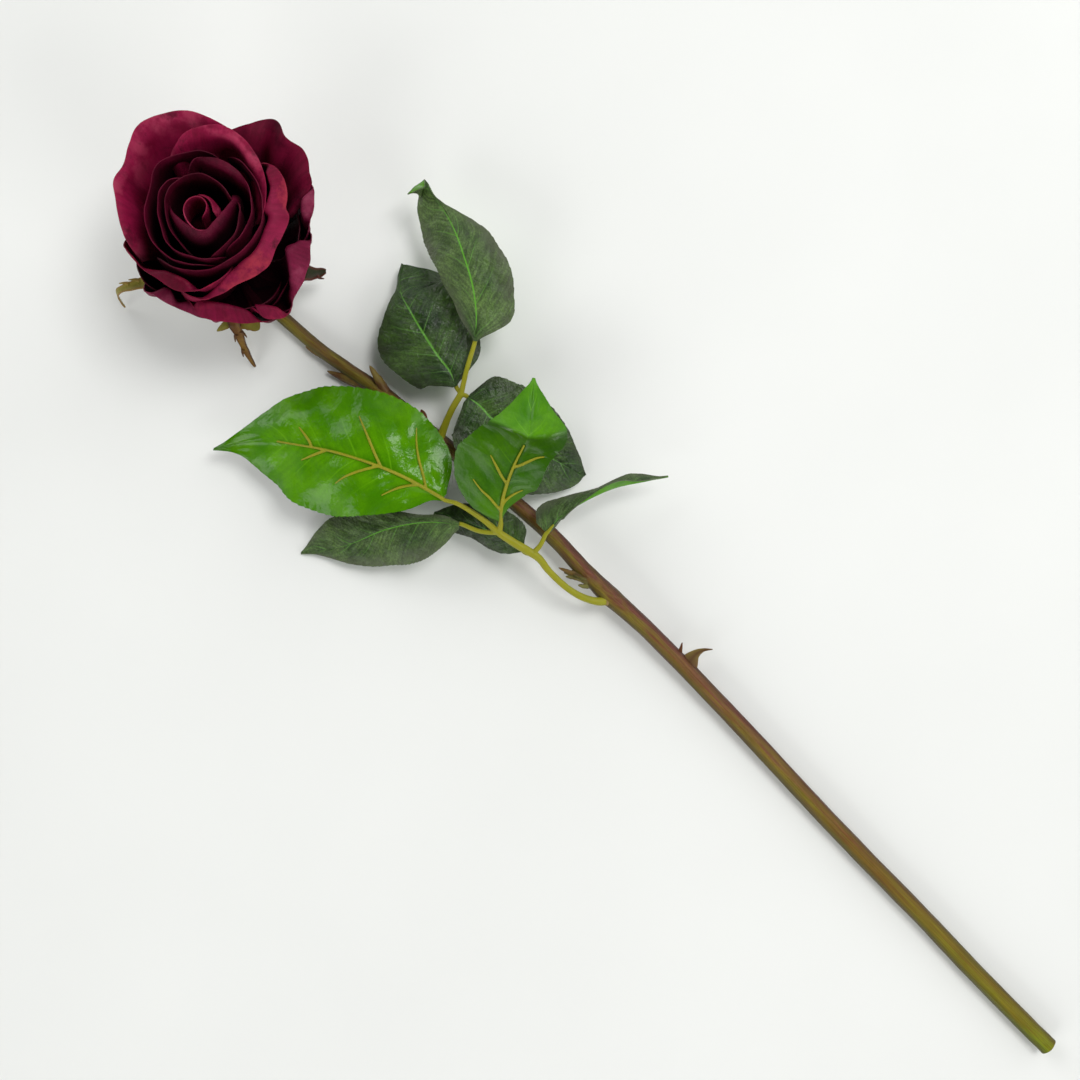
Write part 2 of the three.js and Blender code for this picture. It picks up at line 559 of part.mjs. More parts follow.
function upperPetioleSolid() {
  const { leaflet_a: a, leaflet_b: b, leaflet_c: c } = LEAFLETS;
  const fork = vec(UPPER_SPRAY_FORK);
  return joined([
    tubeSolid(UPPER_SPRAY_STALK.map(vec), [1.7, 1.3, 1.2], 8, 3),
    stalkSolid([fork, vec([66, -28.7, 19.4])], a, false, 0.34, 1.1),
    stalkSolid([fork], b, false, 0.3, 1),
    stalkSolid([fork], c, false, 0.3, 1),
  ]);
}

// ---------------------------------------------------------------- stem
// What is moulded on the stem, each by its points and its radius at each of them.
const THORNS = [
  { points: [[-75.5, -3, 5.8], [-77, -8, 7], [-79.5, -15.4, 8.6]], radii: [3.4, 1.9, 0.35] },
  { points: [[-71.5, -3.5, 6], [-70.4, -6.6, 7], [-69, -9, 7.8]], radii: [1.3, 0.8, 0.3] },
  { points: [[66, -2, 7.6], [68, -4.6, 9.4], [69.4, -5.4, 10.6]], radii: [2.2, 1.4, 0.4] },
];
const SIDE_SHOOT = [
  { points: [[-27, -3, 8.6], [-21.5, -0.6, 9], [-16.5, 0.8, 9.2]], radii: [2.6, 2.2, 1.2] },
  { points: [[-18, 0.2, 9.2], [-14.5, 1.4, 9.8], [-11.9, 3.2, 10]], radii: [1.3, 1, 0.35] },
  { points: [[-20, -0.4, 9.2], [-19, 2.6, 9.4], [-17.6, 4, 9.6]], radii: [1.2, 0.9, 0.35] },
];
// Bracts sheathe the stem and point at the bloom.
const BRACTS = [
  { base: [91, 2, 4.6], tip: [108.6, 9, 2.4], width: 4.6 },
  { base: [83.5, -0.6, 6.2], tip: [96.6, -4, 8.2], width: 4.4 },
];

function bractSolid({ base, tip, width }) {
  const [from, to] = [vec(base), vec(tip)];
  const side = to.clone().sub(from).cross(UP).normalize();
  const point = (u, v) =>
    from.clone().lerp(to, v).addScaledVector(side, (u - 0.5) * (width * (1 - v) ** 0.8 + 0.5));
  return solidFrom(blade(point, 2, 4, SEPAL_THICKNESS));
}

const BELOW_SURFACE = [600, 300, 10]; // cut away, which leaves the stem a narrow flat where it rests

function stemTube(extra) {
  const points = STEM_LINE.map(vec);
  const [below, top] = points.slice(-2);
  top.addScaledVector(top.clone().sub(below).normalize(), extra);
  return solidFrom(taperedTube(points, STEM_LINE.map((row) => row[3] + extra), STEM_SIDES, STEM_STEPS));
}

function stemSolid() {
  const grown = [...THORNS, ...SIDE_SHOOT].map(({ points, radii }) =>
    tubeSolid(points.map(vec), radii, RIB_SIDES, 2),
  );
  const [length, width, depth] = BELOW_SURFACE;
  const below = new THREE.BoxGeometry(length, width, depth).translate(0, 0, -depth / 2);
  return mainBody(joined([stemTube(0), ...grown, ...BRACTS.map(bractSolid)]).subtract(solidFrom(below)));
}

// ---------------------------------------------------------------- the whole rose
const MATERIALS = {
  petal: new THREE.MeshStandardMaterial({ color: '#6e1230', roughness: 0.6, metalness: 0 }),
  stem: new THREE.MeshStandardMaterial({ color: '#6b4a34', roughness: 0.5, metalness: 0 }),
  calyx: new THREE.MeshStandardMaterial({ color: '#6f7a3c', roughness: 0.55, metalness: 0 }),
  stalk: new THREE.MeshStandardMaterial({ color: '#9aa02a', roughness: 0.45, metalness: 0 }),
  leafFace: new THREE.MeshStandardMaterial({ color: '#2f4a30', roughness: 0.5, metalness: 0 }),
  leafUnderside: new THREE.MeshStandardMaterial({ color: '#3f8f1c', roughness: 0.4, metalness: 0 }),
};
const UNDERSIDE_UP = ['leaflet_d', 'leaflet_e'];

const rose = new THREE.Group();

function addPiece(name, geometry, material) {
  const mesh = new THREE.Mesh(geometry, material);
  mesh.name = name;
  rose.add(mesh);
}

const nearStem = stemTube(GAP);
addPiece('stem', geometryFrom(stemSolid()), MATERIALS.stem);
addPiece('calyx', geometryFrom(mainBody(calyxSolid().subtract(nearStem))), MATERIALS.calyx);
addPiece('bloom', bloomGeometry(), MATERIALS.petal);
addPiece('lower_petiole', geometryFrom(mainBody(lowerPetioleSolid().subtract(nearStem))), MATERIALS.stalk);
addPiece('upper_petiole', geometryFrom(mainBody(upperPetioleSolid().subtract(nearStem))), MATERIALS.stalk);
for (const [name, leaf] of Object.entries(LEAFLETS)) {
  const upward = UNDERSIDE_UP.includes(name) ? MATERIALS.leafUnderside : MATERIALS.leafFace;
  addPiece(name, leafBlade(leaf), upward);
}
rose.position.set(-OUTLINE_MIDDLE[0], -OUTLINE_MIDDLE[1], 0);
rose.updateMatrixWorld(true);

export default rose;
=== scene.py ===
# %% [markdown]
# # An artificial rose, lying on a white table
# The real object is a long-stemmed rose of coated cloth and moulded plastic. Its solid model is loaded
# first as a fixed frame, and each piece below stands in the place of one of its solids.

# %% Load the frame
from math import cos, pi, radians, sin
import bpy
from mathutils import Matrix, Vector, noise


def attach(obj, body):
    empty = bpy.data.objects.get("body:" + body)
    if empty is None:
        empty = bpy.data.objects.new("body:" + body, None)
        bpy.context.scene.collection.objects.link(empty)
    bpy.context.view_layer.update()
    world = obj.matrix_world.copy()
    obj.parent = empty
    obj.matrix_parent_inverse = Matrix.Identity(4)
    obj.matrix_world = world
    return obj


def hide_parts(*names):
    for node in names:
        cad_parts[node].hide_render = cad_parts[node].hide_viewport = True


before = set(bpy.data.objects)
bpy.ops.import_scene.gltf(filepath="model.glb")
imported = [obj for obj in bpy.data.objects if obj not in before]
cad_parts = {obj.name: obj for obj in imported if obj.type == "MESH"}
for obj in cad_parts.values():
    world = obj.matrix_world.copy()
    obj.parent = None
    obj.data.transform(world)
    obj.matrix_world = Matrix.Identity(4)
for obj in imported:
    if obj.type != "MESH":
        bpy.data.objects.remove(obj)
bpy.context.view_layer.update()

# %% [markdown]
# ## The camera
# The photograph looks straight down, with the stem running from the lower right to the upper left. A
# camera that is only turned about the upright axis does this. Its lens follows from how much of the
# table the picture shows.

# %% Camera
CAMERA_PLACE = (0.0411, 0.0009, 0.52)
CAMERA_TURN = radians(223.24)
HALF_PICTURE = 0.2176  # metres of table between the middle of the picture and its side

bpy.ops.object.select_all(action="DESELECT")
bpy.ops.object.camera_add(location=CAMERA_PLACE, rotation=(0, 0, CAMERA_TURN))
camera = bpy.context.object
camera.name = "view_from_above"
camera.data.lens = camera.data.sensor_width / 2 * CAMERA_PLACE[2] / HALF_PICTURE
bpy.context.scene.camera = camera
print("lens", round(camera.data.lens, 1), "mm")

# %% [markdown]
# ## Measures and curves
# Places are kept in millimetres from the foot of the lower leaf stalk, as they were measured, and one
# function turns them into the frame's metres. Smooth lines are drawn through a few points: one kind of
# curve for rows of numbers, and one for paths in space.

# %% Measures and curves
MM = 0.001
OUTLINE_MIDDLE = Vector((-41.1, -0.9, 0))
UP = Vector((0, 0, 1))


def in_frame(place):
    return (place - OUTLINE_MIDDLE) * MM


def mix(a, b, share):
    return a + (b - a) * share


def smooth(value, low, high):
    t = min(max((value - low) / (high - low), 0), 1)
    return t * t * (3 - 2 * t)


def along(values, t):
    at = min(max(t, 0), 1) * (len(values) - 1)
    i = min(int(at), len(values) - 2)
    return mix(values[i], values[i + 1], at - i)


def row_at(rows, t):
    """A smooth curve through rows of numbers that are spread evenly from 0 to 1."""
    at = min(max(t, 0), 1) * (len(rows) - 1)
    i = min(int(at), len(rows) - 2)
    f = at - i
    before, after = rows[max(i - 1, 0)], rows[min(i + 2, len(rows) - 1)]
    curved = 3 * f * f - 2 * f**3
    result = []
    for k, value in enumerate(rows[i]):
        following = rows[i + 1][k]
        m0, m1 = (following - before[k]) / 2, (after[k] - value) / 2
        level = (1 - curved) * value + curved * following
        result.append(level + (f**3 - 2 * f * f + f) * m0 + (f**3 - f * f) * m1)
    return result


def path_point(points, t):
    """A point on a curve through points in space, rounder the closer the points are."""
    last = len(points) - 1
    at = min(max(t, 0), 1) * last
    i = min(int(at), last - 1)
    f = at - i
    p1, p2 = points[i], points[i + 1]
    p0 = points[i - 1] if i > 0 else 2 * points[0] - points[1]
    p3 = points[i + 2] if i + 2 <= last else 2 * points[last] - points[last - 1]
    d0, d1, d2 = (p1 - p0).length ** 0.5, (p2 - p1).length ** 0.5, (p3 - p2).length ** 0.5
    m1 = ((p1 - p0) / d0 - (p2 - p0) / (d0 + d1) + (p2 - p1) / d1) * d1
    m2 = ((p2 - p1) / d1 - (p3 - p1) / (d1 + d2) + (p3 - p2) / d2) * d1
    return p1 + m1 * f + (3 * (p2 - p1) - 2 * m1 - m2) * f * f + (2 * (p1 - p2) + m1 + m2) * f**3


def path_direction(points, t):
    step = 1e-3
    return (path_point(points, min(t + step, 1)) - path_point(points, max(t - step, 0))).normalized()


def unevenness(place, size, depth, seed=0):
    """A smooth, repeatable rise and fall, with lumps of about this size and depth in millimetres."""
    return noise.noise(place / size + Vector((seed * 7.3, seed * 3.1, seed * 5.7))) * depth


# %% [markdown]
# ## Sheets and tubes
# Petals, leaflets and sepals are sheets, so each starts as a flat grid whose points are then laid on the
# wanted surface. The grid brings its own UV map, which later carries the veins. A wall is added by the
# Solidify modifier. Stems and stalks are the same grid rolled up, with the seam merged and the ends
# filled.

# %% Sheets and tubes
SHEET_CREASE = radians(55)  # edges sharper than this stay sharp in the shading
SOLID_CREASE = radians(60)
SAME_PLACE = 1e-5  # metres: points closer than this are merged
made = []


def flat_grid(name, columns, rows, place):
    bpy.ops.object.select_all(action="DESELECT")
    bpy.ops.mesh.primitive_grid_add(x_subdivisions=columns, y_subdivisions=rows, size=1)
    piece = bpy.context.object
    piece.name = piece.data.name = name
    for point in piece.data.vertices:
        point.co = in_frame(place(point.co.x + 0.5, point.co.y + 0.5))
    return piece


def give_wall(piece, thickness, other_side=0):
    wall = piece.modifiers.new("wall", "SOLIDIFY")
    wall.thickness = thickness * MM
    wall.offset = 0
    wall.use_quality_normals = True
    wall.material_offset = other_side
    bpy.ops.object.modifier_apply(modifier=wall.name)
    bpy.ops.object.shade_smooth_by_angle(angle=SHEET_CREASE)


def close_seams(piece):
    bpy.ops.object.mode_set(mode="EDIT")
    bpy.ops.mesh.select_all(action="SELECT")
    bpy.ops.mesh.remove_doubles(threshold=SAME_PLACE)
    bpy.ops.mesh.fill_holes(sides=0)
    bpy.ops.mesh.normals_make_consistent(inside=False)
    bpy.ops.object.mode_set(mode="OBJECT")
    bpy.ops.object.shade_smooth_by_angle(angle=SOLID_CREASE)


def rings_along(points, steps):
    """Centre, side and top of each ring, turned as little as possible from one ring to the next."""
    rings = []
    side = None
    for j in range(steps + 1):
        direction = path_direction(points, j / steps)
        side = direction.cross(UP) if side is None else side
        side = (side - direction * side.dot(direction)).normalized()
        rings.append((path_point(points, j / steps), side, side.cross(direction)))
    return rings


def tube(name, points, radii, sides=12, steps=24, ripple=None, flat=1.0):
    points = [Vector(p) for p in points]
    rings = rings_along(points, steps)

    def place(u, v):
        centre, side, top = rings[round(v * steps)]
        angle = 2 * pi * u
        radius = along(radii, v) * (ripple(u, v) if ripple else 1)
        spot = centre + (top * cos(angle) * flat + side * sin(angle)) * radius
        return Vector((spot.x, spot.y, max(spot.z, 0)))

    piece = flat_grid(name, sides, steps, place)
    close_seams(piece)
    return piece


def join_as(name, parts):
    bpy.ops.object.select_all(action="DESELECT")
    for part in parts:
        part.select_set(True)
    bpy.context.view_layer.objects.active = parts[0]
    bpy.ops.object.join()
    piece = bpy.context.object
    piece.name = piece.data.name = name
    return piece


def hand_over(piece, node, slot, *finishes):
    piece.data.materials.clear()
    for finish in finishes:
        piece.data.materials.append(finish)
    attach(piece, "root")
    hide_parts(node)
    made.append(piece)
    print(piece.name, len(piece.data.polygons), "faces")


# %% [markdown]
# ## Finishes from nodes
# Every finish is a Principled shader with its colour, roughness and relief driven by nodes. Small helpers
# keep the node code short: they add a node, link or set its inputs, and find the node tree from a socket.

# %% Node helpers
def feed(socket, value):
    """Link a node's output to a socket, or set the socket's own value."""
    if isinstance(value, bpy.types.NodeSocket):
        socket.id_data.links.new(value, socket)
    else:
        socket.default_value = value


def add_node(tree, kind, inputs=(), **settings):
    node = tree.nodes.new("ShaderNode" + kind)
    for key, value in settings.items():
        setattr(node, key, value)
    for key, value in dict(inputs).items():
        feed(node.inputs[key], value)
    return node


def start_finish(name):
    finish = bpy.data.materials.new(name)
    finish.use_nodes = True
    return finish, finish.node_tree.nodes["Principled BSDF"]


def calc(operation, a, b=0.0, c=0.0):
    return add_node(a.id_data, "Math", {0: a, 1: b, 2: c}, operation=operation).outputs[0]


def ramp(value, *stops):
    """Colours or greys along a value, each stop being (place, colour)."""
    node = add_node(value.id_data, "ValToRGB", {0: value})
    band = node.color_ramp
    while len(band.elements) < len(stops):
        band.elements.new(0.5)
    for element, (place, colour) in zip(band.elements, stops):
        element.position = place
        element.color = (*colour, 1) if isinstance(colour, tuple) else (colour, colour, colour, 1)
    return node.outputs[0]


def blend(share, a, b, how="MIX"):
    tree = (a if isinstance(share, float) else share).id_data
    node = add_node(tree, "Mix", data_type="RGBA", blend_type=how)
    for key, value in ((0, share), (6, a), (7, b)):
        feed(node.inputs[key], (*value, 1) if isinstance(value, tuple) else value)
    return node.outputs[2]


def cloud(where, scale, detail=3.0, stretch=None, roughness=0.5):
    tree = where.id_data
    if stretch:
        where = add_node(tree, "Mapping", {"Vector": where, "Scale": stretch}).outputs[0]
    inputs = {"Vector": where, "Scale": scale, "Detail": detail, "Roughness": roughness}
    return add_node(tree, "TexNoise", inputs).outputs["Fac"]


def relief(shader, height, distance, strength):
    bump = add_node(shader.id_data, "Bump", {"Height": height, "Distance": distance, "Strength": strength})
    feed(shader.inputs["Normal"], bump.outputs[0])


def lay_on(shader, colour, pattern, dull, shiny, specular):
    """The colour, a roughness that follows a pattern, and one specular level all over."""
    feed(shader.inputs["Base Color"], colour)
    feed(shader.inputs["Roughness"], ramp(pattern, (0.3, dull), (0.7, shiny)))
    feed(shader.inputs["Specular IOR Level"], specular)


def coordinates(shader):
    """Place in the piece, place on its UV map, and the two parts of the latter."""
    node = add_node(shader.id_data, "TexCoord")
    split = add_node(shader.id_data, "SeparateXYZ", {0: node.outputs["UV"]})
    return node.outputs["Object"], node.outputs["UV"], split.outputs[0], split.outputs[1]


def off_the_middle(across):
    """0 on the middle line of a sheet, and 1 on its two sides."""
    return calc("ABSOLUTE", calc("MULTIPLY_ADD", across, 2.0, -1.0))


# %% [markdown]
# ## Petal cloth
# The petals are cloth dipped in a soft coating: deep burgundy, crimson where the coating was brushed on
# thicker, with brown bruises and a thin pale line where the cloth was cut. Shade is painted into the
# colour, nearly black deep in the folds: each petal darkens towards its base along its own UV map from
# base to rim, and towards its two side edges. A trace of sheen gives the velvety bloom of the coating.

# %% Petal finish
BRUISE = (0.03, 0.004, 0.008)
BASE_SHADE = 0.35  # how much darker than its shade a petal is at its base


def petal_finish(name, wine, crimson, brushed_on, shade, full, patchy=0.6, bruises=0.6):
    """Two reds in soft patches, a brushed red near the rim, and a painted shade that ends this full way
    up.
    """
    finish, shader = start_finish(name)
    here, cloth, across, up = coordinates(shader)
    patches = cloud(here, 60, 5, roughness=0.55)
    body = ramp(patches, (0.38, wine), (0.6, crimson))
    veins = cloud(cloth, 1, 4, stretch=(30, 2.4, 1), roughness=0.6)
    body = blend(0.55, body, ramp(veins, (0.32, 0.55), (0.68, 1.35)), "MULTIPLY")
    strokes = cloud(here, 95, 5, roughness=0.6)
    near_rim = ramp(up, (0.66, 0.0), (0.88, 1.0))
    brushed = calc("MULTIPLY", ramp(strokes, (0.5, 0.0), (0.62, patchy)), near_rim)
    body = blend(brushed, body, brushed_on)
    bruise = cloud(here, 120, 6, roughness=0.7)
    body = blend(ramp(bruise, (0.57, 0.0), (0.68, bruises)), body, BRUISE)
    # Painted shade: the colour darkens from the rim down towards the petal's base.
    depth = ramp(up, (full - 0.45, shade * BASE_SHADE), (full - 0.2, shade), (full, 1.0))
    body = blend(1.0, body, depth, "MULTIPLY")
    cut = ramp(up, (0.985, 0.0), (0.998, 0.2))
    body = blend(cut, body, brushed_on)
    # Painted shade: the colour darkens towards the petal's two side edges.
    painted_side_shade = ramp(off_the_middle(across), (0.86, 1.0), (0.97, 0.25))
    lay_on(shader, blend(1.0, body, painted_side_shade, "MULTIPLY"), strokes, 0.62, 0.45, 0.08)
    feed(shader.inputs["Sheen Weight"], 0.02)
    feed(shader.inputs["Sheen Roughness"], 0.4)
    feed(shader.inputs["Sheen Tint"], (0.9, 0.2, 0.35, 1))
    fine = cloud(here, 900, 3)
    height = calc("MULTIPLY_ADD", veins, 1.0, calc("MULTIPLY", fine, 0.25))
    relief(shader, height, 0.0004, 0.6)
    return finish


BURGUNDY = ((0.08, 0.001, 0.012), (0.16, 0.004, 0.03), (0.28, 0.015, 0.045))
# The darker looks, wine and dark above all, are partly painted shade for the heart and the petals deep in
# the bloom; the shade and full columns set how far down each petal's painted shade reaches.
PETAL_LOOKS = {  # wine, crimson, brushed on, shade, full, and if not as usual patchy and bruises
    "crimson": ((0.14, 0.002, 0.02), (0.25, 0.007, 0.046), (0.37, 0.04, 0.09), 1.0, 0.46),
    "brushed": ((0.13, 0.003, 0.022), (0.22, 0.01, 0.045), (0.31, 0.025, 0.046), 0.3, 0.76, 0.85, 0.75),
    "burgundy": (*BURGUNDY, 0.34, 0.93),
    "shaded": ((0.05, 0.001, 0.01), (0.13, 0.003, 0.022), (0.17, 0.006, 0.03), 0.6, 0.75, 0.6, 0.3),
    "wine": ((0.04, 0.0008, 0.007), (0.085, 0.002, 0.015), (0.12, 0.004, 0.024), 0.25, 0.98, 0.4),
    "dark": ((0.03, 0.0006, 0.005), (0.07, 0.0015, 0.012), (0.09, 0.003, 0.016), 0.34, 0.98, 0.3),
    "burgundy_lip": (*BURGUNDY, 0.34, 0.76),
    "wine_lip": ((0.045, 0.001, 0.008), (0.09, 0.002, 0.016), (0.13, 0.005, 0.026), 0.2, 0.76, 0.4),
    "wine_rim": ((0.05, 0.001, 0.01), (0.1, 0.003, 0.02), (0.13, 0.005, 0.026), 0.1, 0.97, 0.4),
    "plum": ((0.11, 0.004, 0.024), (0.18, 0.012, 0.045), (0.26, 0.04, 0.085), 0.28, 0.76, 0.6),
}
PETAL_FINISHES = {look: petal_finish("petal_" + look, *values) for look, values in PETAL_LOOKS.items()}
print(len(PETAL_FINISHES), "petal finishes")

# %% [markdown]
# ## The bloom
# Twenty-two petals stand in rings round a tight bud. Each is drawn by its rim alone, as places round the
# bloom with a radius, a height and the length of lip that rolls outward. A curve leaves the receptacle,
# rises through the cup and ends at the rim, so a few numbers give a whole petal. Cloth is never quite
# even, so small lumps and a slightly curled margin are added.

# %% Petal rims
RECEPTACLE = Vector((165, 4.7, 22))
BLOOM_AXIS = (Vector((165.3, -2.4, 71)) - RECEPTACLE).normalized()
BLOOM_EAST = (Vector((1, 0, 0)) - BLOOM_AXIS * BLOOM_AXIS.x).normalized()
BLOOM_NORTH = BLOOM_AXIS.cross(BLOOM_EAST)

# name: (finish, rim points [degrees, radius, height, and the lip where there is one])
PETALS = {
    "bud": ("crimson", [(140, 2.2, 44), (168, 1.4, 47.4), (228, 1.9, 48.6), (270, 3, 49.2),
        (322, 4.4, 49.6), (372, 4.8, 49.6), (400, 5, 49.4), (436, 4.9, 49.2), (468, 5.7, 49),
        (490, 6.5, 48.6), (516, 6.8, 48)]),
    "bud_wrap": ("crimson", [(-152, 6, 45), (-138, 4.9, 48), (-110, 4.7, 48.8), (-80, 4.7, 49),
        (-55, 4.8, 49), (-43, 5, 48.4), (-34, 5.8, 45.5)]),
    "crescent": ("wine_rim", [(22, 12, 42), (38, 9.5, 46), (62, 7.2, 48), (95, 6.5, 49), (120, 7.1, 49.5),
        (136, 7.3, 49.5), (157, 7.1, 49.5), (180, 6.5, 49.5), (214, 7.3, 49.3), (237, 9.6, 48.4),
        (249, 11.5, 46), (262, 13.2, 42)]),
    "ring_right": ("dark", [(142, 15.4, 41), (152, 15.2, 44.4), (179, 13.8, 46.4), (214, 13.7, 47),
        (231, 14.1, 47), (243, 14, 45), (250, 13.2, 40)]),
    "ring_top": ("dark", [(237, 13.6, 43), (257, 12, 46.5), (286, 12.6, 47.6), (307, 13.5, 47.8),
        (328, 13.9, 47.6), (354, 13.9, 47.4), (379, 13.1, 47), (408, 11.6, 46.4), (430, 11.6, 46),
        (456, 12.2, 45), (482, 14.4, 43)]),
    "ring_left": ("wine", [(-30, 14, 42), (-8, 16, 45.6), (7, 16.2, 46), (31, 15.2, 46.2), (47, 14.8, 46),
        (66, 14.3, 45.6), (97, 15.7, 45), (122, 15.7, 44.6), (150, 16.5, 43.6), (165, 15.4, 39)]),
    "folded_band": ("wine_lip", [(-18, 13.4, 33), (-28, 16, 42), (-36, 18.4, 46, 1), (-45, 20, 46.4, 3),
        (-62, 21, 46, 4), (-80, 21, 45.4, 4), (-100, 19.8, 44.8, 3), (-120, 18.2, 44.4, 1),
        (-145, 16.4, 44), (-179, 14.9, 43.6), (-196, 14.8, 39)]),
    "cup_left": ("wine", [(-66, 22, 38), (-50, 23.6, 44), (-29, 23.8, 45.4, 1), (-8, 23.4, 45.4, 1),
        (12, 20.6, 45), (35, 19.6, 44.4), (70, 19.5, 43.6), (100, 18.8, 43), (131, 17.5, 42.4),
        (150, 17, 37)]),
    "cup_front": ("wine", [(82, 21.5, 36), (104, 20.6, 41), (131, 19.6, 42), (160, 18.4, 43),
        (190, 19.4, 43.4), (220, 21, 43.4), (250, 22.6, 43.2), (280, 25, 42), (296, 26, 37)]),
    "crown_top": ("crimson", [(-16, 26, 38), (-27, 28, 43.6), (-37, 31.4, 44.6, 1), (-49, 34, 44.4, 3),
        (-60, 34.4, 43.8, 4), (-71, 33.2, 43, 4), (-84, 30, 42.2, 4), (-98, 27.4, 42, 3),
        (-112, 24.6, 41.6, 1), (-139, 19.8, 39)]),
    "front_lip": ("brushed", [(-84, 25, 38), (-91, 29.5, 41, 2), (-98, 32.4, 40.4, 4.5),
        (-105, 33, 39.6, 6.2), (-110, 32.6, 39, 6.5), (-117, 31.2, 38, 7.6), (-125, 29.3, 37, 8.5),
        (-132, 30.1, 36.6, 8), (-144, 28.2, 36.4, 7.2), (-155, 27.1, 36, 6.5), (-172, 27.2, 35.6, 7.2),
        (-185, 26.1, 35.2, 6.8), (-202, 25.5, 35, 5), (-217, 26.7, 34.6, 4), (-229, 28, 34.4, 3),
        (-243, 26.5, 34.5, 1), (-252, 24.2, 33)]),
    "front_left": ("burgundy_lip", [(50, 29.5, 27), (57, 31, 31, 0.5), (63, 30, 32, 1),
        (71, 28.4, 33, 1.5), (86, 27.1, 34, 3.5), (103, 26.8, 35.5, 5), (117, 26.6, 37, 4.6),
        (130, 25.7, 38.5, 2.7), (140, 24.2, 39.6, 1.4), (152, 22.3, 40, 0.5), (166, 18.8, 36)]),
    "grand_left": ("crimson", [(-88, 28, 34), (-78, 31, 40.4), (-62, 34.6, 42.4, 1), (-48, 38, 43, 1),
        (-33, 40.4, 42.6, 2), (-16, 41.8, 41, 2), (-3, 38.6, 40.4, 1), (9, 35.4, 39.4, 1),
        (20, 35.6, 37.6, 2), (30, 31.8, 38, 1), (44, 30, 37.6), (58, 28.4, 35), (72, 26.4, 29)]),
    "back_dark": ("shaded", [(-46, 34, 27), (-57, 36.4, 34), (-68, 41.4, 35), (-77, 47.4, 33.6, 2),
        (-86, 44.4, 34, 1), (-95, 46, 33.4, 2), (-105, 43.4, 32.6, 1), (-111, 42, 31, 1),
        (-116, 37.5, 28.6), (-121, 31, 22)]),
    "rolled_right": ("plum", [(-102, 37, 22), (-109, 41, 29, 1), (-114, 41.6, 30, 3.5),
        (-119, 40.4, 30, 5), (-124, 39.4, 29, 5), (-129, 37.6, 27.6, 3), (-134, 36, 25.6, 0.8),
        (-142, 32, 19)]),
    "corner_right": ("plum", [(-122, 33, 17), (-136, 37.6, 25, 1), (-142, 37.6, 25, 5.8),
        (-147, 37.6, 24, 10.1), (-152, 37.9, 23, 9.7), (-158, 37.4, 22, 7.3), (-163, 37.6, 21, 5.6),
        (-168, 37.4, 20, 4), (-174, 37.6, 18.6, 3.1), (-178, 38.6, 17, 0.9), (-184, 36.5, 14)]),
    "corner_front": ("burgundy_lip", [(159, 30.5, 16), (163, 32, 25, 1), (165, 35, 24.6, 3.7),
        (167, 37.6, 23.6, 5.8), (171, 39.4, 22.4, 6.5), (175, 40.6, 21, 5.5), (179, 40.3, 19, 2.3),
        (183, 38.8, 17, 1), (186, 35.2, 13)]),
    "skirt_front": ("burgundy_lip", [(98, 20, 17), (110, 25, 24, 0.5), (121, 27.8, 26, 2),
        (128, 31.4, 26, 5.9), (136, 32.7, 25, 7), (144, 33.6, 24, 7.1), (151, 35, 23, 7.1),
        (157, 36.2, 22, 6.2), (163, 37.1, 21, 3.2), (169, 37.8, 19, 1), (176, 37.1, 15)]),
    "skirt_left": ("plum", [(78, 29.5, 18), (86, 31.6, 23, 0.5), (93, 30.4, 25, 3.4),
        (100, 30.4, 25, 4.76), (109, 30.7, 24.4, 3.57), (119, 30.9, 23.4, 4.42), (129, 31.1, 22, 4.59),
        (136, 31.2, 20, 1), (142, 29, 15)]),
    "skirt_back": ("burgundy", [(-70, 28, 14), (-52, 33, 24, 1), (-32, 36, 27, 3), (-10, 36.4, 27, 3),
        (12, 34.6, 26, 3), (34, 31.6, 25, 2), (54, 29.4, 22, 1), (72, 25, 14)]),
    "backing_front": ("dark", [(46, 24, 14), (60, 28, 20), (80, 29.6, 22.6), (100, 28, 23),
        (120, 26.6, 22.6), (140, 28, 21), (160, 30, 19), (180, 31, 16), (196, 28, 11)]),
    "backing_right": ("dark", [(-92, 30, 14), (-106, 33, 20), (-122, 33.4, 22), (-138, 32.6, 21.6),
        (-154, 32.4, 20), (-170, 32, 17), (-186, 32, 13.6), (-200, 28, 10)]),
}
# A petal's curve from base to rim has two handles, as shares of the rim's radius and height. The upper
# one gives its stance. A petal with a lip curves to a fold inside the rim, and the lip arches over there.
UPRIGHT, OPENING = ((0.96, 0.1), (1.03, 0.68)), ((0.8, 0.08), (0.7, 0.88))
OPENING_PETALS = ("grand_left", "crown_top", "back_dark")
# The petals that hug the bud lean in, with their upper handle this far out from and below the rim.
LEANING_IN = {"crescent": (7.6, 4.4), "bud": (2.4, 5), "bud_wrap": (6, 4.5)}
FOLD_AT = 0.7  # where on its way from base to rim a petal folds over into its lip
PETAL_SPREAD = 0.975  # the rims were taken on the petals' outer faces
PETAL_WALL = 0.36
PETAL_FOOT = (4.5, 1)  # radius and height at which a petal leaves the receptacle
GATHERED = 0.55  # how far round a petal's base reaches, as a share of its rim
CURL = 0.35  # how far the margin curls out, in millimetres
print(len(PETALS), "petals")

# %% Shape the petals
def in_bloom(degrees, radius, height):
    angle = radians(degrees)
    outward = BLOOM_EAST * cos(angle) + BLOOM_NORTH * sin(angle)
    return RECEPTACLE + BLOOM_AXIS * height + outward * radius


def curve(handles, t):
    """A point on the curve from the first to the last of three or four handles."""
    while len(handles) > 1:
        handles = [[mix(a, b, t) for a, b in zip(p, q)] for p, q in zip(handles, handles[1:])]
    return handles[0]


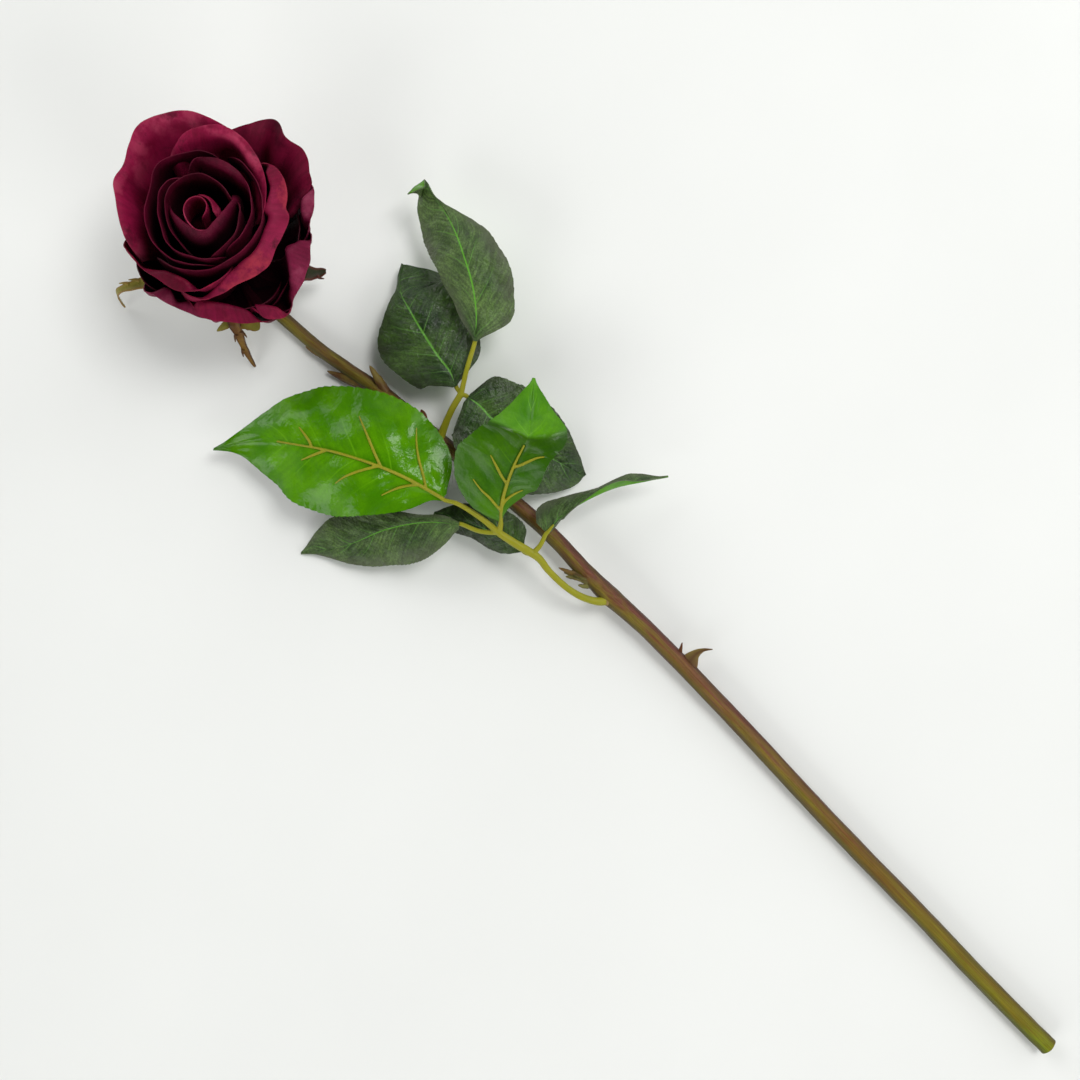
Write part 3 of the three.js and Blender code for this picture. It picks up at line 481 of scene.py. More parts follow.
def petal_place(name, rim, seed, u, v):
    degrees, outer, height, lip = row_at(rim, u)
    radius = outer * PETAL_SPREAD
    middle = (rim[0][0] + rim[-1][0]) / 2
    belly, crest = OPENING if name in OPENING_PETALS else UPRIGHT
    upper = (radius * crest[0], height * crest[1])
    if name in LEANING_IN:
        upper = (radius + LEANING_IN[name][0], height - LEANING_IN[name][1])
    plain = curve([PETAL_FOOT, (radius * belly[0], height * belly[1] + 1), upper, (radius, height)], v)
    fold = (radius - 0.85 * lip, height + 0.25 * lip)
    if v < FOLD_AT:
        body = [PETAL_FOOT, (fold[0] * belly[0], fold[1] * belly[1] + 1), (fold[0], fold[1] * 0.7), fold]
        lipped = curve(body, v / FOLD_AT)
    else:
        lip_line = [fold, (fold[0] + 0.1 * lip, fold[1] + 0.4 * lip), (radius, height)]
        lipped = curve(lip_line, (v - FOLD_AT) / (1 - FOLD_AT))
    reach, rise = (mix(a, b, smooth(lip, 1, 5)) for a, b in zip(plain, lipped))
    spot = in_bloom(middle + (degrees - middle) * mix(GATHERED, 1, smooth(v, 0, 0.6)), reach, rise)
    outward = (spot - RECEPTACLE - BLOOM_AXIS * rise).normalized()
    loose = smooth(v, 0.45, 1)
    lumps = unevenness(spot, 11, 0.8, seed) + unevenness(spot, 4.5, 0.3, seed + 20)
    curl = CURL * smooth(v, 0.94, 1)
    waves = BLOOM_AXIS * unevenness(spot, 6, 0.5, seed + 40) * loose
    return spot + outward * (lumps * loose + curl) + waves


for seed, (name, (look, rim)) in enumerate(PETALS.items()):
    rim = [(*point, 0)[:4] for point in rim]
    petal = flat_grid("petal_" + name, 72, 36, lambda u, v: petal_place(name, rim, seed, u, v))
    give_wall(petal, PETAL_WALL)
    hand_over(petal, "bloom", "petal", PETAL_FINISHES[look])

# %% [markdown]
# ## The heart of the bloom
# The petals are pressed on a solid core, which closes the gaps between them low in the cup. It is a
# profile turned round the bloom's axis: the grid is rolled up, and the points that meet at its two poles
# are merged.

# %% Turned pieces
TURNED_STEPS = 40  # round a turned piece, and from pole to pole


def turned(name, profile):
    def place(u, v):
        radius, height = row_at(profile, v)
        return in_bloom(360 * u, max(radius, 0), height)

    piece = flat_grid(name, TURNED_STEPS, TURNED_STEPS, place)
    close_seams(piece)
    return piece


heart = turned("heart", [(0, 0.2), (5, 0.4), (10, 4), (12.3, 12), (11, 22), (7, 31), (3, 35), (0, 36)])
hand_over(heart, "bloom", "petal", PETAL_FINISHES["dark"])

# %% [markdown]
# ## Green plastic
# Calyx, stem and stalks are moulded plastic, tinted by hand: olive green with reddish brown brushed over
# it, more on one side. Long streaks follow the stem, so the noise is stretched along its UV map. The
# colours also change along the stem, which is read from the Object coordinates.

# %% Stem finish
def stem_finish():
    finish, shader = start_finish("stem_brushed_olive")
    here, skin, around, _ = coordinates(shader)
    place = add_node(here.id_data, "SeparateXYZ", {0: here}).outputs[0]
    run = calc("MULTIPLY_ADD", place, 2.0, 0.5)  # 0 at the cut end, 0.9 at the bloom
    olive = ramp(
        run, (0.0, (0.17, 0.21, 0.003)), (0.12, (0.17, 0.145, 0.006)), (0.35, (0.165, 0.12, 0.012)),
        (0.6, (0.16, 0.12, 0.008)), (0.9, (0.19, 0.165, 0.01)))
    brown = ramp(
        run, (0.0, (0.17, 0.13, 0.004)), (0.2, (0.15, 0.068, 0.01)), (0.4, (0.15, 0.042, 0.026)),
        (0.65, (0.12, 0.043, 0.016)), (0.95, (0.11, 0.07, 0.009)))
    streaks = cloud(skin, 1, 4, stretch=(7, 16, 1), roughness=0.6)
    turn = calc("COSINE", calc("MULTIPLY_ADD", around, 2 * pi, -1.6))
    share = calc("MULTIPLY_ADD", turn, 0.13, streaks)
    colour = blend(ramp(share, (0.36, 0.0), (0.62, 1.0)), olive, brown)
    lines = cloud(skin, 1, 3, stretch=(60, 40, 1))
    colour = blend(0.5, colour, ramp(lines, (0.36, 0.45), (0.62, 1.35)), "MULTIPLY")
    # Painted shade: the colour darkens towards the stem's two sides as seen from above.
    edge = ramp(calc("ABSOLUTE", turn), (0.35, 1.0), (0.8, 0.55), (1.0, 0.3))
    lay_on(shader, blend(1.0, colour, edge, "MULTIPLY"), streaks, 0.46, 0.32, 0.2)
    pits = cloud(here, 700, 3)
    relief(shader, calc("MULTIPLY_ADD", lines, 1.0, pits), 0.0004, 0.7)
    return finish


def tinted_plastic(name, base, second, edge, rough=0.5):
    """Plastic with two tints in soft patches, and a third towards a sheet's side edges."""
    finish, shader = start_finish(name)
    here, _, across, _ = coordinates(shader)
    patches = cloud(here, 160, 4)
    colour = blend(ramp(patches, (0.4, 0.0), (0.62, 1.0)), base, second)
    near_edge = ramp(off_the_middle(across), (0.55, 0.0), (1.0, 0.8))
    lay_on(shader, blend(near_edge, colour, edge), patches, rough + 0.08, rough - 0.08, 0.2)
    relief(shader, cloud(here, 600, 4), 0.0005, 0.7)
    return finish


STEM = stem_finish()
CALYX = tinted_plastic("calyx_olive", (0.25, 0.21, 0.035), (0.17, 0.15, 0.02), (0.2, 0.1, 0.02))
BROWN = tinted_plastic("thorn_brown", (0.13, 0.055, 0.018), (0.08, 0.03, 0.012), (0.1, 0.03, 0.012))
BRACT = tinted_plastic("bract_olive_brown", (0.19, 0.14, 0.03), (0.12, 0.055, 0.018), (0.06, 0.02, 0.01))
SHOOT = tinted_plastic("shoot_grey_olive", (0.21, 0.2, 0.06), (0.1, 0.09, 0.02), (0.08, 0.04, 0.015))
TAN = tinted_plastic("collar_tan", (0.28, 0.2, 0.07), (0.2, 0.14, 0.05), (0.2, 0.12, 0.04))
RUST = tinted_plastic("sepal_rust", (0.2, 0.11, 0.015), (0.12, 0.05, 0.01), (0.05, 0.016, 0.006))
SHADED = tinted_plastic("sepal_shaded", (0.016, 0.02, 0.005), (0.03, 0.014, 0.006), (0.1, 0.02, 0.014))
YELLOW_GREEN = tinted_plastic(
    "stalk_yellow_green", (0.33, 0.29, 0.01), (0.2, 0.22, 0.008), (0.25, 0.245, 0.012), 0.4)

# %% [markdown]
# ## The stem
# The stem is a wire coated with plastic: a long tube that thins towards the bloom, swells where the leaf
# stalk leaves it, bends up sharply under the bloom and rests on the table along a narrow flat. Its path
# and its thickness come from one list of points.

# %% Stem
STEM_LINE = [
    (-287, 8.3, 3.35, 3.7), (-272, 7.8, 3.3, 3.65), (-242, 6.6, 3.3, 3.65), (-217, 5.1, 3.25, 3.6),
    (-179, 3.5, 3.3, 3.6), (-149, 1.8, 3.8, 3.55), (-118, -0.3, 4.2, 3.5), (-95, -1.6, 4.8, 3.45),
    (-57, -3.2, 6.4, 3.4), (-44, -3.1, 7, 3.6), (-35, -2.8, 7.6, 4), (-28, -2.9, 8, 3.6),
    (-19, -3.3, 8.3, 3.3), (-3, -4.5, 8.6, 3.2), (17, -4, 8.8, 3.1), (54, -1.7, 7.6, 3),
    (72, -0.8, 6.2, 2.9), (84, 0, 5.2, 2.9), (104, 3, 3.8, 2.7), (116, 4.7, 3.1, 2.6),
    (136, 5.6, 2.45, 2.6), (151, 6.2, 2.4, 2.6), (158, 6.4, 2.7, 2.6), (162.8, 6.5, 5.1, 2.5),
    (164.6, 6.5, 9.5, 2.4),
]
STEM_RIDGES = 5  # low ridges round the stem, which wind a little along it
RIDGE_RISE, LUMP_RISE = 0.018, 0.035  # as shares of the stem's radius


def stem_ripple(u, v):
    where = Vector((cos(2 * pi * u), sin(2 * pi * u), v * 60))
    ridges = cos(2 * pi * STEM_RIDGES * u + 3 * sin(12 * v))
    return 1 + LUMP_RISE * noise.noise(where) + RIDGE_RISE * ridges


stem = tube("stem_rod", [p[:3] for p in STEM_LINE], [p[3] for p in STEM_LINE], 28, 360, stem_ripple)
hand_over(stem, "stem", "stem", STEM)

# %% [markdown]
# ## Thorns, bracts and the side shoot
# These are moulded with the stem. A thorn is a short tube that thins from a flared foot to a hooked
# point. A bract is a small pointed sheet that hugs the stem. The side shoot is a stub with a few ragged
# scales of the same kind.

# %% Thorns
THORN_FLATNESS = 0.45
THORNS = {  # middle line, and the radii along it
    "hooked": (
        [(-76.7, -4.6, 5.6), (-76.1, -9.2, 6.9), (-77, -12.4, 7.9), (-79.5, -15.3, 8.6)],
        [4.3, 1.9, 0.8, 0.2]),
    "spike": ([(-71.5, -4.2, 6), (-70.4, -6.8, 7), (-69, -9, 7.8)], [1.6, 0.7, 0.2]),
    "small": ([(66, -2, 8), (68, -4.6, 9.4), (69.4, -5.4, 10.6)], [2.6, 1.4, 0.3]),
}
for name, (points, radii) in THORNS.items():
    thorn = tube("thorn_" + name, points, radii, 16, 20, flat=THORN_FLATNESS)
    hand_over(thorn, "stem", "stem", BRACT if name == "hooked" else BROWN)


# %% Pointed scales
SCALE_WALL = 0.5
RAGGED = 0.25  # how far a scale's edge wanders, as a share of its half width


def scale_leaf(name, base, tip, width, cup, lift, twist):
    """A pointed sheet from base to tip, hollow across, lifted in the middle and turned on its length."""
    start, end = Vector(base), Vector(tip)
    direction = (end - start).normalized()
    flat = direction.cross(UP).normalized()
    side = flat * cos(twist) + flat.cross(direction) * sin(twist)
    face = side.cross(direction)

    def place(u, v):
        across = 2 * u - 1
        half = width / 2 * ((1 - v) ** 0.7 * (0.75 + 0.5 * v) + 0.05)
        ragged = 1 + RAGGED * noise.noise(Vector((u * 3, v * 7, width * 3)))
        rise = lift * sin(pi * v) - cup * across * across * (1 - v)
        return start.lerp(end, v) + side * across * half * ragged + face * rise

    piece = flat_grid(name, 12, 20, place)
    give_wall(piece, SCALE_WALL)
    return piece


BRACTS = {  # base, tip, width, hollow, lift, twist and finish
    "sheath": ((112.5, 5.6, 4.2), (121.4, 7.8, 3.2), 3, 0.8, 0.3, 0.3, BRACT),
    "low": ((91, 2.6, 5.2), (108.6, 9, 2.4), 5.4, 1.8, 0.5, 0.5, BRACT),
    "high": ((83.5, -0.8, 7.4), (96.6, -4, 8.4), 4.6, 1.6, 0.4, -0.3, BRACT),
    "shoot_a": ((-22, -0.8, 9.6), (-12.8, 2.9, 10.2), 2.4, 0.7, 0.5, 0.2, BRACT),
    "shoot_b": ((-23, -0.2, 9.8), (-17.4, 3.6, 9.6), 3.2, 0.6, 0.6, -0.7, SHOOT),
    "shoot_c": ((-25, -1.2, 10.2), (-18.8, 0.8, 11.6), 3, 0.6, 0.3, 0.9, SHOOT),
    "shoot_d": ((-27, -0.2, 9.4), (-23.2, 2.6, 9.2), 3, 0.5, 0.4, 0.6, SHOOT),
    "shoot_e": ((-20, 0.2, 9.8), (-15.8, 2.9, 9.0), 2.2, 0.4, 0.3, -0.2, SHOOT),
}
for name, (base, tip, width, cup, lift, twist, look) in BRACTS.items():
    hand_over(scale_leaf("bract_" + name, base, tip, width, cup, lift, twist), "stem", "stem", look)
SHOOT_LINE = [(-28, -3, 8.6), (-22.5, -0.8, 9), (-17.5, 0.9, 9.2)]
COLLAR_LINE = [(-36.8, -2.4, 8), (-36, -1, 8.9), (-35.2, 0.2, 9.6)]
hand_over(tube("side_shoot", SHOOT_LINE, [2.6, 2.3, 1.9, 0.9], 14, 14), "stem", "stem", SHOOT)
hand_over(tube("joint_collar", COLLAR_LINE, [3.3, 2.7, 2.0, 1.7], 20, 12), "stem", "stem", TAN)

# %% [markdown]
# ## Calyx
# Under the bloom a small round hip carries five sepals: long narrow leaflets with barbs, olive green and
# rusty at the edges, that droop to the table. Each sepal is a sheet along its own middle line, and its
# barbs are small tapered tubes.

# %% Hip and sepals
HIP_PROFILE = [(0, -12), (3, -12), (5.2, -9.5), (6, -6), (5.2, -2.5), (6.2, -0.6), (3, -0.4), (0, -0.4)]
hand_over(turned("hip", HIP_PROFILE), "calyx", "calyx", CALYX)

SEPALS = {  # finish, breadth, barbs (place and side), middle line (degrees, reach, height)
    "left": (CALYX, 0.72, [(0.33, -1), (0.45, -1)], [
        (60, 3.5, 20), (66, 14, 21.5), (62.5, 30.1, 21.5), (61.8, 36.1, 21.5), (61.1, 40.9, 20),
        (60.8, 43.6, 16), (61.4, 45.4, 9), (63.2, 46.4, 0.8)]),
    "front": (RUST, 0.85, [(0.47, 1), (0.5, -1), (0.72, -1)], [
        (143, 3.5, 20), (145, 14, 20), (143.7, 25.4, 19), (144.2, 29.5, 15), (143.8, 33.1, 10),
        (144.4, 37.2, 4.5), (145.6, 40.9, 0.8)]),
    "right": (SHADED, 1.6, [(0.8, -1)], [
        (216, 3.5, 20), (214, 16, 19.5), (213.5, 30.3, 17), (214.2, 32.6, 15), (214.6, 34.7, 13.5),
        (216.1, 37.2, 12.5), (217.6, 39.4, 12)]),
}
for name, turn in (("back", 285), ("far", 352)):
    line = [(turn, 3.5, 20), (turn, 14, 17), (turn, 24, 9), (turn, 31, 0.8)]
    SEPALS[name] = (CALYX, 1, [(0.4, 1), (0.6, -1)], line)
SEPAL_WIDTHS = [6.5, 7.5, 7, 6, 4.6, 3.6, 3.4, 2.6, 2.0, 0.9]
SEPAL_WALL = 0.6
BARB_OUT, BARB_AHEAD = 1.1, 1.6  # how far a barb stands off the edge, and leans to the sepal's tip


def sepal_place(line, breadth, u, v):
    degrees, reach, height = row_at(line, v)
    angle = radians(degrees)
    across = 2 * u - 1
    width = along(SEPAL_WIDTHS, v) * breadth
    spot = Vector((RECEPTACLE.x + reach * cos(angle), RECEPTACLE.y + reach * sin(angle), height))
    side = Vector((-sin(angle), cos(angle), 0))
    spot += side * across * width / 2 * (1 + unevenness(spot, 3, 0.25))
    return spot + UP * (0.16 * width * across * across + unevenness(spot, 4, 0.4))


for name, (look, breadth, barbs, line) in SEPALS.items():
    blade = flat_grid("sepal_blade", 10, 48, lambda u, v: sepal_place(line, breadth, u, v))
    give_wall(blade, SEPAL_WALL)
    parts = [blade]
    for place, side in barbs:
        foot = sepal_place(line, breadth, 0.5 + 0.3 * side, place)
        edge = sepal_place(line, breadth, 0.5 + 0.5 * side, place + 0.03)
        ahead = sepal_place(line, breadth, 0.5, place + 0.06) - sepal_place(line, breadth, 0.5, place)
        tip = edge + (edge - foot).normalized() * BARB_OUT + ahead.normalized() * BARB_AHEAD
        parts.append(tube("barb", [foot, edge, tip], [0.9, 0.6, 0.2], 8, 8))
    hand_over(join_as("sepal_" + name, parts), "calyx", "calyx", look)
# The broad base of the front sepal shows beside the bloom, with a short torn flap to either side.
FLAPS = {  # base, tip and width
    "flap_left": ((144.7, 16.5, 18), (147.5, 26.9, 17), 5),
    "flap_right": ((145.6, 15.3, 18.5), (135.9, 15.4, 17), 12),
}
for name, (base, tip, width) in FLAPS.items():
    hand_over(scale_leaf("calyx_" + name, base, tip, width, 0.8, 0.6, 0.1), "calyx", "calyx", CALYX)

# %% [markdown]
# ## Leaf finishes
# The leaflets are coated cloth, printed on both faces. The upper face is a deep grey green with a satin
# sheen, a bright green midrib and faint side veins. The underside is a bright, glossy yellow green. The
# veins run along lines of the UV map: the midrib is its middle, and the side veins are slanting stripes.

# %% Leaf finishes
VEIN_PAIRS = 7
VEIN_SLANT = 0.2  # how far along the leaflet a side vein runs on its way to the edge
FOLD_SLANT = 0.06  # the same for the fold across one leaflet


def vein_masks(across, length):
    """Midrib, side veins, how far off the midrib, and a place along and across the side veins."""
    off = off_the_middle(across)
    run = calc("MULTIPLY_ADD", off, -VEIN_SLANT, length)
    phase = calc("FRACT", calc("MULTIPLY_ADD", run, VEIN_PAIRS, 0.5))
    stripe = calc("ABSOLUTE", calc("SUBTRACT", phase, 0.5))
    thinner = calc("MULTIPLY", calc("POWER", length, 3.0), 0.045)
    midrib = ramp(calc("ADD", thinner, off), (0.012, 1.0), (0.034, 0.0))
    side = ramp(calc("MULTIPLY_ADD", off, 0.04, stripe), (0.008, 1.0), (0.045, 0.0))
    side = calc("MULTIPLY", side, ramp(off, (0.3, 1.0), (0.7, 0.15)))
    halves = calc("MULTIPLY", across, 5.0)
    stretched = calc("MULTIPLY", run, 40.0)
    along_veins = add_node(run.id_data, "CombineXYZ", {0: halves, 1: stretched}).outputs[0]
    return midrib, side, off, along_veins


def leaf_finish(name, dark, light, edge, rib, vein, strokes, rough, specular, wrinkle, shading=None):
    """Printed cloth, strokes and painted highlight streaks from 0 to 1, wrinkles in metres, shade painted
    lengthwise.
    """
    finish, shader = start_finish(name)
    here, _, across, length = coordinates(shader)
    midrib, side, off, along_veins = vein_masks(across, length)
    patches = cloud(here, 75, 5, roughness=0.6)
    colour = ramp(patches, (0.36, dark), (0.64, light))
    fibres = cloud(along_veins, 1, 5, roughness=0.65)
    # The lighter fibre streaks are partly print and partly painted highlight streaks.
    colour = blend(strokes, colour, ramp(fibres, (0.36, 0.38), (0.64, 2.0)), "MULTIPLY")
    stipple = cloud(here, 1300, 2)
    colour = blend(strokes, colour, ramp(stipple, (0.42, 0.7), (0.6, 1.4)), "MULTIPLY")
    near_edge = ramp(off, (0.45, 0.0), (0.95, 0.7))
    near_edge = calc("MULTIPLY", near_edge, ramp(patches, (0.4, 1.0), (0.6, 0.4)))
    colour = blend(near_edge, colour, edge)
    colour = blend(calc("MULTIPLY", side, 0.8), colour, vein)
    colour = blend(midrib, colour, rib)
    if shading:
        reached = calc("MULTIPLY_ADD", off, -FOLD_SLANT, length)
        colour = blend(1.0, colour, ramp(reached, *shading), "MULTIPLY")
    lay_on(shader, colour, fibres, rough + 0.05, rough - 0.05, specular)
    wrinkles = cloud(here, 230, 3, roughness=0.55)
    ridges = calc("ABSOLUTE", calc("SUBTRACT", wrinkles, 0.5))
    relief(shader, calc("MULTIPLY_ADD", fibres, 0.35 * strokes, ridges), wrinkle, 0.8)
    return finish


FACE = dict(strokes=0.6, specular=0.32, wrinkle=0.002)
LEAF_FACE = leaf_finish(
    "leaf_face", **FACE, rough=0.3, dark=(0.008, 0.026, 0.003), light=(0.038, 0.078, 0.013),
    edge=(0.03, 0.036, 0.016), rib=(0.1, 0.3, 0.03), vein=(0.08, 0.2, 0.03))
# The grey-faced leaflets' lighter grey colours and grey edges are partly painted sheen, for their satin
# gloss.
LEAF_FACE_GREY = leaf_finish(
    "leaf_face_grey", **FACE, rough=0.46, dark=(0.024, 0.054, 0.01), light=(0.068, 0.118, 0.028),
    edge=(0.086, 0.092, 0.057), rib=(0.1, 0.34, 0.02), vein=(0.09, 0.24, 0.03))
UNDER = dict(
    dark=(0.042, 0.172, 0.0005), light=(0.086, 0.265, 0.001), edge=(0.045, 0.165, 0.001),
    rib=(0.1, 0.3, 0.005), vein=(0.11, 0.32, 0.004), strokes=0.1, specular=0.22, wrinkle=0.0005)
LEAF_UNDERSIDE = leaf_finish("leaf_underside", **UNDER, rough=0.17, shading=[(0.8, 1.0), (1.0, 0.55)])
FOLDED_UNDERSIDE = leaf_finish(
    "leaf_underside_folded", **UNDER, rough=0.32,
    shading=[(0.0, 0.66), (0.5, 0.55), (0.69, 0.36), (0.715, 1.0), (1.0, 1.1)])
print(VEIN_PAIRS, "pairs of side veins")

# %% [markdown]
# ## Leaflets
# Eight leaflets hang on two sprays. Each follows a midrib curve in space, with a half width to either
# side and an angle at which that half folds up. Small teeth point along the edge, the cloth quilts
# between the side veins, and the edge waves a little. Two leaflets lie with their bright undersides up,
# so their finishes change places. A half that folds by more than a right angle shows its underside.

# %% Leaflet measures
LEAFLETS = {
    "d": dict(midrib=[
        (38, 14.1, 23), (43.9, 15, 24.4), (54.3, 18.1, 27), (63, 21, 28), (73.7, 25.8, 27.4),
        (83.7, 31.3, 25), (92.9, 36.9, 22), (101.9, 43, 17.5), (110.6, 51.4, 13), (118.5, 62.1, 10)],
        left=[1, 4.5, 12, 17.5, 20.5, 23.5, 25, 24.5, 23, 18.6, 13.4, 4.6, 0.4],
        right=[2.5, 13.5, 21.5, 25, 27, 28, 27.4, 26, 23.6, 19.2, 11, 4.4, 0.4],
        folds=([-8, -14, -10], [-8, -12, -8]), teeth=34, wave=0.8, lumps=[(21, 3), (6, 0.35)]),
    "e": dict(midrib=[
        (16, 5, 22.5), (18.2, 2.4, 26), (24.1, -6.9, 32), (26.1, -13.6, 35.5), (28.1, -20.7, 38.5),
        (29.6, -24.9, 39), (35.9, -33.3, 35), (43.9, -43.3, 29)],
        left=[0.5, 5, 12.5, 19, 22, 22, 20, 18, 16.5, 15.5, 11, 5.5, 0.4],
        right=[0.5, 0.8, 2.5, 8.5, 11.5, 11.8, 11.5, 11.5, 12.5, 14.5, 10, 5, 0.4],
        folds=([-6, 8, -6], [-6, 4, -6]), teeth=26, wave=0.4, crease=(0.705, 2.2),
        lumps=[(14, 1)]),
    "f": dict(midrib=[
        (27.2, 17, 19), (37.5, 25.6, 17), (46.8, 38.1, 12.5), (55, 55, 6), (66.5, 69.7, 0.6)],
        left=[2.2, 8, 12, 14, 15.5, 16, 15.5, 14, 11.5, 7.5, 4, 1.5, 0.4],
        right=[0.8, 2.5, 3, 3, 4, 6, 8.5, 11, 12.8, 13, 11.5, 6.5, 0.4],
        folds=([-8, -12, 0], [-20, -14, 0]), teeth=30, wave=0.5),
    "g": dict(midrib=[
        (-0.1, -3.8, 20), (0.2, -12.6, 22), (-3.2, -25, 22), (-7.6, -35, 19.5), (-13, -43.1, 16),
        (-19.7, -52.6, 12)],
        left=[6, 9.2, 9.2, 7.2, 6, 4.8, 4.4, 4.4, 4.8, 5, 3.6, 1.4, 0.4],
        right=[1.8, 3, 2.2, 0.7, 0.9, 2.4, 4, 4.4, 3.4, 1.6, 0.8, 0.4, 0.4],
        folds=([-12, -32, -56, -34, -12], [-70, -70, 118, 118, 122, 122, 122]), teeth=26, wave=0.4),
    "h": dict(midrib=[
        (1.9, 7.7, 15.5), (9.4, 8.8, 15), (22.6, 13.2, 13), (37.9, 20.9, 9.5)],
        left=[0.5, 2.5, 4.5, 5.5, 6.8, 7.5, 7.8, 7, 6.2, 6.2, 6, 4, 0.4],
        right=[1.2, 3.5, 7, 8.8, 9.5, 10, 10, 9.3, 8.5, 7.5, 6.2, 3.5, 0.4],
        folds=([-20, -35, -25], [-4, -6, 0]), teeth=18, wave=0.8),
    "a": dict(midrib=[
        (71, -38.8, 21), (77.8, -46.8, 23.5), (86.1, -53.6, 26), (95.6, -59.2, 26.5), (104.1, -63.7, 25),
        (112.8, -67, 22.5), (121, -68.7, 20), (127.3, -70.2, 18.5), (128.7, -66.5, 22),
        (128.1, -62.1, 24)],
        left=[0.5, 7, 10, 12.8, 14, 15.8, 16.5, 15.5, 11, 6, 4.5, 3, 0.5],
        right=[1, 13.5, 15.5, 16, 14, 12, 6.5, 2, 0.6, 0.6, 2.6, 4.4, 0.4],
        folds=([-26, -33, -40, -33, -26], [-6, -7, -7, -8, -7, -6, 0, 140, 150]), teeth=30, wave=0.6),
    "b": dict(midrib=[
        (65.1, -21.3, 16), (70.4, -23.7, 17), (78.2, -25, 16.5), (88.9, -27.7, 14.5), (99.9, -30.9, 12),
        (106.7, -33.2, 9.5), (111.3, -37, 7), (115.4, -42.7, 4.5)],
        left=[1.5, 9, 13, 15, 17.5, 19.5, 18.5, 13.5, 7.5, 2.5, 1, 1, 0.4],
        right=[0.6, 6.5, 15.5, 18.5, 18.8, 18.5, 18.5, 18.5, 18.5, 18.6, 19, 19.6, 17],
        folds=([-8, -10, -10], [-10, -8, -10]), teeth=26, wave=0.7),
    "c": dict(midrib=[
        (58.7, -21.4, 16), (52.9, -22.1, 16.6), (46.5, -21.6, 16.6), (32.8, -23.4, 15),
        (18.2, -26.9, 9.5), (8.1, -29.7, 4), (4.6, -31.3, 0.8)],
        left=[2, 11.5, 14.8, 17.5, 18, 18.5, 18.5, 17, 13, 8.5, 5.5, 3, 0.4],
        right=[3, 14, 15.8, 16.5, 19.5, 22, 21.5, 19.5, 16, 12, 7, 3.5, 0.4],
        folds=([-4, -6, 0], [0, 7, 6]), teeth=28, wave=0.6, lumps=[(13, 1), (5, 0.25)]),
}
UNDERSIDE_UP, GREY_FACED = ("d", "e"), ("a", "f", "g")
LEAF_COLUMNS, LEAF_ROWS = 48, 160
LEAF_WALL = 0.45
TOOTH = 0.019  # how deep a tooth cuts, as a share of the half width
CRINKLED = [(9, 0.8), (4.2, 0.55)]  # size and depth of the cloth's lumps, in millimetres
QUILTING = 0.5  # how high the cloth swells between two side veins, in millimetres
GROOVE = 0.35  # how deep the midrib lies, in millimetres
ARCH = 0.12  # how high each half arches, as a share of its width
EDGE_WAVES = 3.3  # waves of the edge from base to tip
CREASE_RISE, CREASE_FALL = 0.16, 0.1  # lengths of the slopes before and after a crease, as shares


# %% Shape the leaflets
def leaf_frames(leaf, steps):
    points = [Vector(p) for p in leaf["midrib"]]
    frames = []
    for j in range(steps + 1):
        direction = path_direction(points, j / steps)
        right = direction.cross(UP).normalized()
        frames.append((path_point(points, j / steps), right, right.cross(direction)))
    return frames


def leaf_place(leaf, frames, u, v):
    centre, right, face = frames[round(v * (len(frames) - 1))]
    side = 0 if u < 0.5 else 1
    share = abs(2 * u - 1)
    fold = radians(along(leaf["folds"][side], v))
    widths = leaf["right"] if side else leaf["left"]
    saw = (v * leaf["teeth"] + 0.5 * side) % 1
    notch = 1 - TOOTH * (1 - saw) * smooth(share, 0.75, 1)
    width = max(row_at([(w,) for w in widths], v)[0], 0.3)
    arch = ARCH * width * share * (1 - share)
    run = (v - VEIN_SLANT * share) * VEIN_PAIRS + 0.5
    quilt = QUILTING * (abs(sin(pi * run)) - 0.5) * smooth(share, 0, 0.3) * (1 - share * 0.6)
    quilt *= smooth(width, 2, 10)
    wave = leaf["wave"] * share * share * sin(2 * pi * EDGE_WAVES * v + 2 * side)
    groove = -GROOVE * (1 - smooth(share, 0, 0.12))
    spot = centre + right * ((1 if side else -1) * share * width * notch * cos(fold))
    spot += face * (share * width * sin(fold) + arch + quilt + wave * smooth(v, 0, 0.2) + groove)
    if "crease" in leaf:
        place, height = leaf["crease"]
        off = v - place - FOLD_SLANT * share
        spot += face * height * max(0, 1 - abs(off) / (CREASE_RISE if off < 0 else CREASE_FALL))
    lumps = sum(unevenness(spot, size, depth) for size, depth in leaf.get("lumps", CRINKLED))
    return spot + face * lumps * smooth(share, 0.02, 0.3)


for letter, leaf in LEAFLETS.items():
    name = "leaflet_" + letter
    frames = leaf_frames(leaf, LEAF_ROWS)
    leaflet = flat_grid(
        name + "_cloth", LEAF_COLUMNS, LEAF_ROWS, lambda u, v: leaf_place(leaf, frames, u, v))
    for point in leaflet.data.vertices:
        point.co.z = max(point.co.z, 0.5 * LEAF_WALL * MM)
    upturned = letter in UNDERSIDE_UP
    for _ in range(2):
        leaflet.data.materials.append(None)
    give_wall(leaflet, LEAF_WALL, 1)
    under = FOLDED_UNDERSIDE if "crease" in leaf else LEAF_UNDERSIDE
    upper_face = LEAF_FACE_GREY if letter in GREY_FACED else LEAF_FACE
    pair = (under, LEAF_FACE) if upturned else (upper_face, under)
    sides = [polygon.material_index for polygon in leaflet.data.polygons]
    hand_over(leaflet, name, "leaf_underside" if upturned else "leaf_face", *pair)
    for polygon, side in zip(leaflet.data.polygons, sides):
        polygon.material_index = side

# %% [markdown]
# ## Leaf stalks and ribs
# One moulded skeleton carries each spray: the stalk, its forks, and ribs that are glued along the
# midribs. On the two upturned leaflets the ribs lie on top and can be seen. The tubes are joined, fused
# by a voxel Remesh and smoothed, which gives the soft webs that a mould leaves at every fork.

